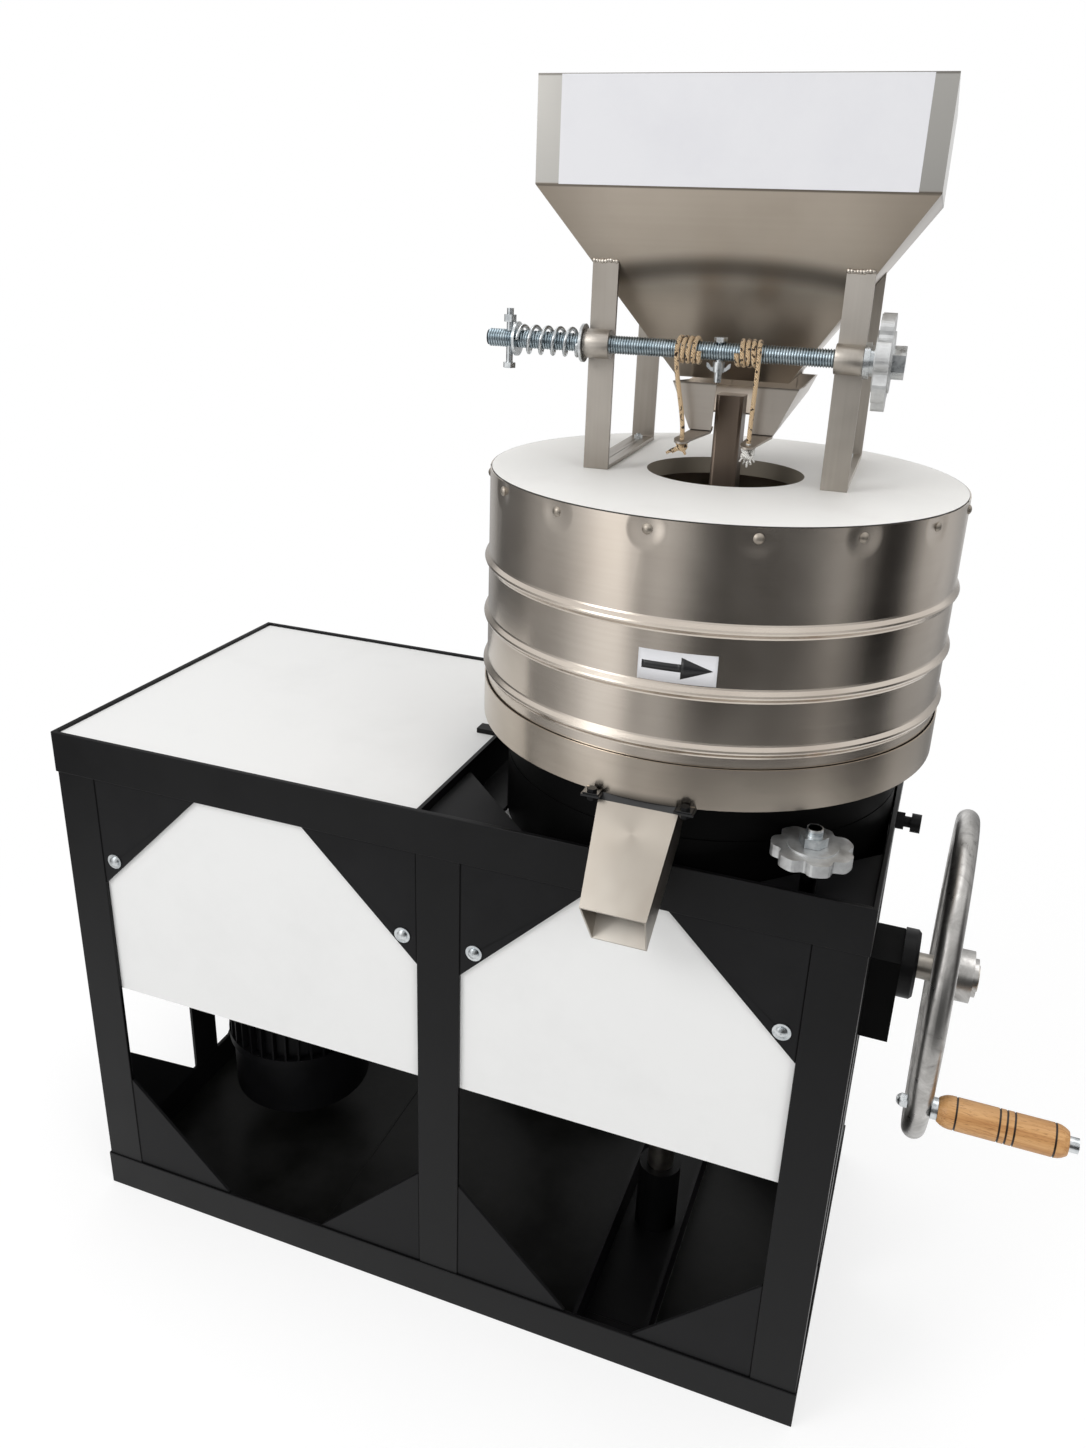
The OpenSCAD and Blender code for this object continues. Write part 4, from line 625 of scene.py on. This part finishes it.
def finish_the_cad_nodes():
    """Gives each node of the CAD model its finish."""
    for name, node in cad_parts.items():
        node.data.materials.clear()
        node.data.materials.append(FINISHES[name])


def soften_the_flat_edges():
    """Rolled and sawn steel has no razor edges: a small round on each catches a thin line of light."""
    widths = {"top_frame": 1.2, "bottom_frame": 1.2, "frame_posts": 1.2, "gussets": 0.7,
              "bearing_bracket": 1.5, "hopper_stands": 0.7, "damsel_bar": 0.4, "panel_clip": 0.5}
    for name, width in widths.items():
        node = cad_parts[name]
        weld = node.modifiers.new("weld", "WELD")
        weld.merge_threshold = 0.00002
        edge = node.modifiers.new("edge_break", "BEVEL")
        edge.width = width * MM
        edge.segments = 2
        edge.limit_method = "ANGLE"
        edge.angle_limit = math.radians(40)
        edge.harden_normals = True


# The pieces that the CAD model has only as plain solids, or not at all

def piece(name, mesh, material, body, replaced=()):
    """Turns a bmesh into a piece of the mill. It rides on one of the bodies, if one is given."""
    bmesh.ops.remove_doubles(mesh, verts=mesh.verts, dist=1e-6)
    bmesh.ops.recalc_face_normals(mesh, faces=mesh.faces)
    data = bpy.data.meshes.new(name)
    mesh.to_mesh(data)
    mesh.free()
    for face in data.polygons:
        face.use_smooth = True
    thing = bpy.data.objects.new(name, data)
    bpy.context.scene.collection.objects.link(thing)
    data.materials.append(material)
    if body:
        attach(thing, body)
    if replaced:
        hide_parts(*replaced)
    return thing


def turn_onto_casing(mesh):
    """The hopper and its gear stand turned a little on the casing."""
    bmesh.ops.rotate(mesh, verts=mesh.verts, cent=(0, 0, 0), matrix=Matrix.Rotation(HOPPER_TURN, 3, "Z"))


def only(kind, made):
    """The vertices, or the edges, among what an operator made."""
    return [part for part in made["geom"] if isinstance(part, kind)]


def ring_outline(mesh, centre, radius, normal, sides):
    """A closed ring of edges to sweep."""
    made = bmesh.ops.create_circle(mesh, cap_ends=False, segments=sides, radius=radius)
    verts = made["verts"]
    turn = Vector((0, 0, 1)).rotation_difference(Vector(normal)).to_matrix()
    bmesh.ops.rotate(mesh, verts=verts, cent=(0, 0, 0), matrix=turn)
    bmesh.ops.translate(mesh, verts=verts, vec=centre)
    return verts, list(dict.fromkeys(edge for vert in verts for edge in vert.link_edges))


def coil_mesh(mesh, start, radius, wire, step, turns, sides, per_turn):
    """A coil along X, made by spinning a ring of edges with a shift at each step."""
    verts, edges = ring_outline(mesh, Vector(start) + Vector((0, -radius, 0)), wire, (0, 0, 1), sides)
    bmesh.ops.contextual_create(mesh, geom=edges)
    faces = [face for face in mesh.faces if all(vert in verts for vert in face.verts)]
    bmesh.ops.spin(mesh, geom=verts + edges + faces, cent=start, axis=(-1, 0, 0),
                   dvec=(step / per_turn, 0, 0), angle=math.tau * turns, steps=round(turns * per_turn),
                   use_duplicate=False)


def swept_tube(mesh, path, radius, sides, swell=None):
    """A tube along a path, extruded one ring at a time. It can swell or thin as it goes."""
    path = [Vector(p) for p in path]
    ways = [(path[min(i + 1, len(path) - 1)] - path[max(i - 1, 0)]).normalized() for i in range(len(path))]
    verts, edges = ring_outline(mesh, path[0], radius, ways[0], sides)
    bmesh.ops.contextual_create(mesh, geom=edges)
    for i in range(1, len(path)):
        made = bmesh.ops.extrude_edge_only(mesh, edges=edges)
        verts = only(bmesh.types.BMVert, made)
        edges = only(bmesh.types.BMEdge, made)
        bmesh.ops.translate(mesh, verts=verts, vec=path[i] - path[i - 1])
        turn = ways[i - 1].rotation_difference(ways[i]).to_matrix()
        bmesh.ops.rotate(mesh, verts=verts, cent=path[i], matrix=turn)
        if swell:
            grown = swell[i] / swell[i - 1]
            bmesh.ops.scale(mesh, verts=verts, vec=(grown, grown, grown), space=Matrix.Translation(-path[i]))
    bmesh.ops.contextual_create(mesh, geom=edges)


def lathe(mesh, outline, centre, axis, steps):
    """Spins an outline of (distance along the axis, radius) pairs round an axis."""
    axis = Vector(axis).normalized()
    side = axis.orthogonal().normalized()
    verts = [mesh.verts.new(Vector(centre) + axis * along + side * radius) for along, radius in outline]
    edges = [mesh.edges.new(pair) for pair in zip(verts, verts[1:])]
    bmesh.ops.spin(mesh, geom=verts + edges, cent=centre, axis=axis, angle=math.tau, steps=steps,
                   use_merge=True, use_duplicate=False)


def thread_outline(length, crest, pitch, depth):
    """The side of a threaded bar: a crest and a root for each turn, with ends chamfered by 1.5 mm."""
    chamfer = 1.5 * MM
    outline = [(0.0, 0.0), (0.0, crest - chamfer)]
    for i in range(int((length - 3 * MM) / pitch)):
        z = chamfer + i * pitch
        outline += [(z, crest - depth), (z + 0.38 * pitch, crest), (z + 0.55 * pitch, crest)]
    return outline + [(length, crest - chamfer), (length, 0.0)]


def mark_the_roots(bar, centre, axis, crest, depth):
    """Writes how deep each vertex of a thread lies, so that the finish can darken the roots."""
    root = bar.data.attributes.new("root", "FLOAT", "POINT")
    for vert, value in zip(bar.data.vertices, root.data):
        along = (vert.co - centre).dot(axis)
        far = (vert.co - centre - axis * along).length
        value.value = min(1.0, max(0.0, (crest - far) / depth))


def threaded_feed_rod():
    """The feed rod with its thread, in place of the plain bar."""
    start = (ROD_LEFT, ROD_Y, ROD_Z)
    mesh = bmesh.new()
    lathe(mesh, thread_outline(ROD_LEN, ROD_R, ROD_PITCH, ROD_THREAD), start, (1, 0, 0), 40)
    turn_onto_casing(mesh)
    rod = piece("threaded_feed_rod", mesh, blue_zinc, "feed_rod_unit", ["feed_rod"])
    turn = Matrix.Rotation(HOPPER_TURN, 3, "Z")
    mark_the_roots(rod, turn @ Vector(start), turn @ Vector((1, 0, 0)), ROD_R, ROD_THREAD)


def feed_rod_spring():
    """The coiled spring round the rod, between its two washers."""
    mesh = bmesh.new()
    span = SPRING_LEN - 2 * SPRING_WIRE
    coil_mesh(mesh, (SPRING_LEFT + SPRING_WIRE, ROD_Y, ROD_Z), SPRING_R, SPRING_WIRE, span / SPRING_TURNS,
              SPRING_TURNS, 12, 40)
    turn_onto_casing(mesh)
    piece("coiled_rod_spring", mesh, zinc, "feed_rod_unit", ["rod_spring"])


def wound_cords():
    """The turns of both cords on the rod."""
    mesh = bmesh.new()
    for start, way in CORD_STARTS.values():
        coil_mesh(mesh, (start, ROD_Y, ROD_Z), WIND_R, CORD_R, way * CORD_STEP, CORD_TURNS, 10, 36)
    turn_onto_casing(mesh)
    piece("wound_cords", mesh, tan_cord, "feed_rod_unit", ["cord_turns_wound"])


def hanging_cords():
    """The free length of each cord, from the rod down to its tab on the shoe, eased as in the CAD model."""
    mesh = bmesh.new()
    for side, (start, _) in CORD_STARTS.items():
        path = []
        for i in range(17):
            s = i / 16
            ease = s * s * (3 - 2 * s)
            path.append((start + (TAB_X[side] - start) * ease, FALL_Y,
                         ROD_Z - 0.3 * MM + (TAB_TOP + 0.6 * MM - ROD_Z) * s))
        swept_tube(mesh, path, CORD_R, 10)
    turn_onto_casing(mesh)
    cords = piece("hanging_cords", mesh, tan_cord, None, ["cord_falls"])
    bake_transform(cords)


def cord_knots():
    """A stopper knot under each tab: the left one tan with a long tail, the right one white and frayed."""
    for side, material in (("left", tan_cord), ("right", white_cord)):
        mesh = bmesh.new()
        x, top, bulk = TAB_X[side], KNOT_TOP, KNOT_BULK[side]
        swept_tube(mesh, [(x, FALL_Y, top + 3.2 * MM), (x, FALL_Y, top - 1 * MM), (x, FALL_Y, top - 7 * MM)],
                   CORD_R, 10)
        knot = []
        for i in range(33):
            a = math.tau * i / 32 * 1.75
            knot.append((x + bulk * MM * math.cos(a), FALL_Y + bulk * MM * math.sin(a),
                         top - (bulk + 1.5) * MM - 0.8 * bulk * MM * math.sin(a * 1.5)))
        swept_tube(mesh, knot, 2.7 * MM, 9)
        for dx, dy, dz, thick in KNOT_ENDS[side]:
            swept_tube(mesh, [(x, FALL_Y, top - 6 * MM),
                              (x + dx * 0.6 * MM, FALL_Y + dy * 0.6 * MM, top - 6 * MM + dz * 0.45 * MM),
                              (x + dx * MM, FALL_Y + dy * MM, top - 4 * MM + dz * MM)], thick * MM, 7,
                       swell=(1.0, 1.0, 0.8))
        turn_onto_casing(mesh)
        replaced = ["cord_knots"] if side == "left" else []
        piece("cord_knot_" + side, mesh, material, "feed_shoe", replaced)


def thin_plate(mesh, size, place):
    """A box of a given size, with its middle at a place."""
    made = bmesh.ops.create_cube(mesh, size=1.0)
    bmesh.ops.scale(mesh, verts=made["verts"], vec=size)
    bmesh.ops.translate(mesh, verts=made["verts"], vec=place)


def blank_hopper_label():
    """The plain white film on the hopper's front, with nothing printed on it."""
    mesh = bmesh.new()
    thin_plate(mesh, BLANK_LABEL_SIZE, BLANK_LABEL_PLACE)
    turn_onto_casing(mesh)
    film = piece("blank_hopper_label", mesh, label_film, "frame")
    for face in film.data.polygons:
        face.use_smooth = False


def slice_along(mesh, start, length):
    """Cuts a flat piece into twenty strips along X, so that it can bend."""
    for i in range(1, 20):
        bmesh.ops.bisect_plane(mesh, geom=mesh.verts[:] + mesh.edges[:] + mesh.faces[:],
                               plane_co=(start + length * i / 20, 0, 0), plane_no=(1, 0, 0))


def wrap_on_casing(mesh, radius):
    """Bends a flat piece, drawn in X and Z, round the casing."""
    for vert in mesh.verts:
        a = vert.co.x / CASING_R
        r = radius + vert.co.y
        vert.co = Vector((r * math.sin(a), -r * math.cos(a), vert.co.z))


def turning_arrow_label():
    """A small white plate with a plain arrow that shows which way the stone turns."""
    left, right = (math.radians(a) * CASING_R for a in TURNING_LABEL_TURN)
    low, high = TURNING_LABEL_Z
    width, height, middle = right - left, high - low, (low + high) / 2
    mesh = bmesh.new()
    thin_plate(mesh, (width, 0.4 * MM, height), ((left + right) / 2, 0, middle))
    slice_along(mesh, left, width)
    wrap_on_casing(mesh, CASING_R + 0.3 * MM)
    piece("turning_label_plate", mesh, label_film, "frame")
    mesh = bmesh.new()
    mesh.faces.new([mesh.verts.new((left + a * width, 0, middle + b * height)) for a, b in ARROW])
    slice_along(mesh, left, width)
    made = bmesh.ops.extrude_face_region(mesh, geom=mesh.faces[:])
    bmesh.ops.translate(mesh, verts=only(bmesh.types.BMVert, made), vec=(0, 0.25 * MM, 0))
    wrap_on_casing(mesh, CASING_R + 0.5 * MM)
    piece("turning_arrow", mesh, arrow_black, "frame")


def weld_beads():
    """Short scalloped welds where the hopper's posts meet its walls."""
    mesh = bmesh.new()
    for left in HOPPER_POSTS_X:
        for i in range(9):
            x = left + 0.002 + i * 0.0032
            made = bmesh.ops.create_icosphere(mesh, subdivisions=2, radius=(2.4 + rng.random() * 0.9) * MM)
            place = (x, POST_WELD_Y + rng.random() * MM, POST_WELD_Z + rng.random() * 1.2 * MM)
            bmesh.ops.translate(mesh, verts=made["verts"], vec=place)
    turn_onto_casing(mesh)
    piece("post_weld_beads", mesh, weld_steel, "frame")


def deck_stud_thread():
    """The thread that stands out of the nut on the deck knob."""
    mesh = bmesh.new()
    lathe(mesh, thread_outline(STUD_SHOWS, STUD_R, STUD_PITCH, STUD_THREAD), STUD_TOP, (0, 0, 1), 32)
    stud = piece("deck_stud_thread", mesh, blue_zinc, "frame")
    mark_the_roots(stud, Vector(STUD_TOP), Vector((0, 0, 1)), STUD_R, STUD_THREAD)


def floor_seam_bead():
    """A low painted bead that closes the seam between two of the floor's plates."""
    low, high = (Vector(corner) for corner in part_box("floor_sheet"))
    mesh = bmesh.new()
    path = [(FLOOR_SEAM_X + rng.uniform(-0.2, 0.2) * MM, low.y + 0.012 + (high.y - low.y - 0.024) * i / 40,
             high.z - 0.3 * MM + rng.uniform(-0.1, 0.1) * MM) for i in range(41)]
    swept_tube(mesh, path, 1.3 * MM, 8)
    piece("floor_seam_bead", mesh, floor_paint, "frame")


# The studio

# What the polished steel mirrors from round the studio, as (degrees round the mill, brightness)
CARDS = [(-180, 0.18), (-164, 0.46), (-151, 0.50), (-140, 0.90), (-129, 1.45), (-119, 1.60), (-110, 0.45),
         (-101, 0.74), (-93, 0.50), (-84.5, 0.14), (-76, 0.04), (-68, 0.09), (-60, 0.08), (-51, 0.08),
         (-43, 0.11), (-34, 0.24), (-24, 0.45), (-14, 0.22), (-4, 0.0), (8.6, 0.04), (23, 0.62), (43, 0.66),
         (62, 0.38), (78, 0.85), (92, 1.30), (104, 0.70), (118, 0.30), (132, 0.55), (145, 0.50), (157, 0.14),
         (180, 0.18)]
CARD_PEAK = 1.6
CARDS_R, CARDS_HEIGHT = 1.9, 1.5

# Each lamp's place, width and power, and the point of the mill that they all face
LAMPS = {"key_box": ((-1.9, -2.3, 2.7), 1.6, 36.0), "fill_box": ((2.3, -1.9, 2.0), 1.5, 20.0),
         "top_box": ((0.0, 0.4, 3.4), 2.2, 24.0)}
LIT_POINT = (-0.1, 0, 0.9)


def seen_or_mirrored(tree):
    """One for what the camera sees, straight or through metal and glass."""
    path = add(tree, "ShaderNodeLightPath").outputs
    either = add(tree, "ShaderNodeMath", {"operation": "MAXIMUM", 0: path["Is Camera Ray"],
                                          1: path["Is Glossy Ray"]})
    return add(tree, "ShaderNodeMath", {"operation": "MAXIMUM", 0: either.outputs[0],
                                        1: path["Is Transmission Ray"]}).outputs[0]


def stage_piece(name, mesh, material, height):
    """A piece of the studio, which isn't part of the mill."""
    data = bpy.data.meshes.new(name)
    mesh.to_mesh(data)
    mesh.free()
    thing = bpy.data.objects.new(name, data)
    thing.location.z = height
    bpy.context.scene.collection.objects.link(thing)
    data.materials.append(material)
    return thing


def bare_tree(material):
    """The emptied node tree of a material or a world."""
    material.use_nodes = True
    material.node_tree.nodes.clear()
    return material.node_tree


def white_floor():
    """A plain white floor that runs out into a white backdrop and keeps the mill's shadow."""
    paper = bpy.data.materials.new("white_studio_paper")
    tree = bare_tree(paper)
    place = add(tree, "ShaderNodeTexCoord").outputs["Object"]
    away = add(tree, "ShaderNodeVectorMath", {"operation": "LENGTH", 0: place}).outputs["Value"]
    fade = add(tree, "ShaderNodeMapRange", {"interpolation_type": "SMOOTHSTEP", "From Min": 0.9,
                                            "From Max": 1.9, "Value": away})
    matte = add(tree, "ShaderNodeBsdfDiffuse", {"Color": "#fbfbfb"})
    faint = add(tree, "ShaderNodeBsdfDiffuse", {"Color": "#a4a4a4"})
    glow = add(tree, "ShaderNodeEmission", {"Color": "#ffffff", "Strength": 0.70})
    lit = add(tree, "ShaderNodeAddShader", {0: faint.outputs[0], 1: glow.outputs[0]})
    white = add(tree, "ShaderNodeEmission", {"Color": "#ffffff", "Strength": 1.0})
    far = add(tree, "ShaderNodeMixShader", {0: fade.outputs["Result"], 1: lit.outputs[0],
                                            2: white.outputs[0]})
    plain = add(tree, "ShaderNodeMixShader", {0: seen_or_mirrored(tree), 1: matte.outputs[0],
                                              2: far.outputs[0]})
    add(tree, "ShaderNodeOutputMaterial", {"Surface": plain.outputs[0]})
    mesh = bmesh.new()
    bmesh.ops.create_grid(mesh, x_segments=1, y_segments=1, size=20.0)
    stage_piece("studio_floor", mesh, paper, -0.0005)


def grey_cards():
    """A ring of glowing grey cards round the mill, seen only where a glossy finish mirrors it."""
    greys = bpy.data.materials.new("grey_studio_cards")
    tree = bare_tree(greys)
    place = add(tree, "ShaderNodeTexCoord").outputs["Object"]
    apart = add(tree, "ShaderNodeSeparateXYZ", {"Vector": place}).outputs
    angle = add(tree, "ShaderNodeMath", {"operation": "ARCTAN2", 0: apart["Y"], 1: apart["X"]})
    turn = add(tree, "ShaderNodeMapRange", {"From Min": -math.pi, "From Max": math.pi,
                                            "Value": angle.outputs[0]})
    stops = [((degrees + 180) / 360, bright / CARD_PEAK) for degrees, bright in CARDS]
    tone = add(tree, "ShaderNodeValToRGB", {"stops": stops, "Fac": turn.outputs["Result"]})
    # painted shade: the cards glow less towards their lower edge, where they stand on the floor
    shade = add(tree, "ShaderNodeMapRange", {"From Min": -0.40, "From Max": -0.05, "To Min": 0.6 * CARD_PEAK,
                                             "To Max": CARD_PEAK, "Value": apart["Z"]})
    card = add(tree, "ShaderNodeEmission", {"Color": tone.outputs["Color"],
                                            "Strength": shade.outputs["Result"]})
    add(tree, "ShaderNodeOutputMaterial", {"Surface": card.outputs[0]})
    mesh = bmesh.new()
    bmesh.ops.create_cone(mesh, cap_ends=False, segments=72, radius1=CARDS_R, radius2=CARDS_R,
                          depth=CARDS_HEIGHT)
    cards = stage_piece("studio_cards", mesh, greys, CARDS_HEIGHT / 2)
    cards.visible_camera = False
    cards.visible_diffuse = False
    cards.visible_shadow = False


def white_surroundings():
    """A soft white world, which the camera and the steel see as plain white."""
    world = bpy.data.worlds.new("studio_world")
    bpy.context.scene.world = world
    tree = bare_tree(world)
    soft = add(tree, "ShaderNodeBackground", {"Color": "#ffffff", "Strength": 0.58})
    white = add(tree, "ShaderNodeBackground", {"Color": "#ffffff", "Strength": 1.0})
    mixed = add(tree, "ShaderNodeMixShader", {0: seen_or_mirrored(tree), 1: soft.outputs[0],
                                              2: white.outputs[0]})
    add(tree, "ShaderNodeOutputWorld", {"Surface": mixed.outputs[0]})


def soft_lamps():
    """Three round soft lamps. The steel doesn't mirror the one that fills the shadows."""
    for name, (place, size, power) in LAMPS.items():
        data = bpy.data.lights.new(name, "AREA")
        data.shape = "DISK"
        data.size = size
        data.energy = power
        lamp = bpy.data.objects.new(name, data)
        lamp.location = place
        lamp.rotation_euler = (Vector(LIT_POINT) - Vector(place)).to_track_quat("-Z", "Y").to_euler()
        lamp.visible_glossy = name != "fill_box"
        bpy.context.scene.collection.objects.link(lamp)


look_from_the_photo()
finish_the_cad_nodes()
soften_the_flat_edges()
threaded_feed_rod()
feed_rod_spring()
wound_cords()
hanging_cords()
cord_knots()
blank_hopper_label()
turning_arrow_label()
weld_beads()
deck_stud_thread()
floor_seam_bead()
white_floor()
grey_cards()
white_surroundings()
soft_lamps()
bpy.context.scene.view_settings.view_transform = "Standard"
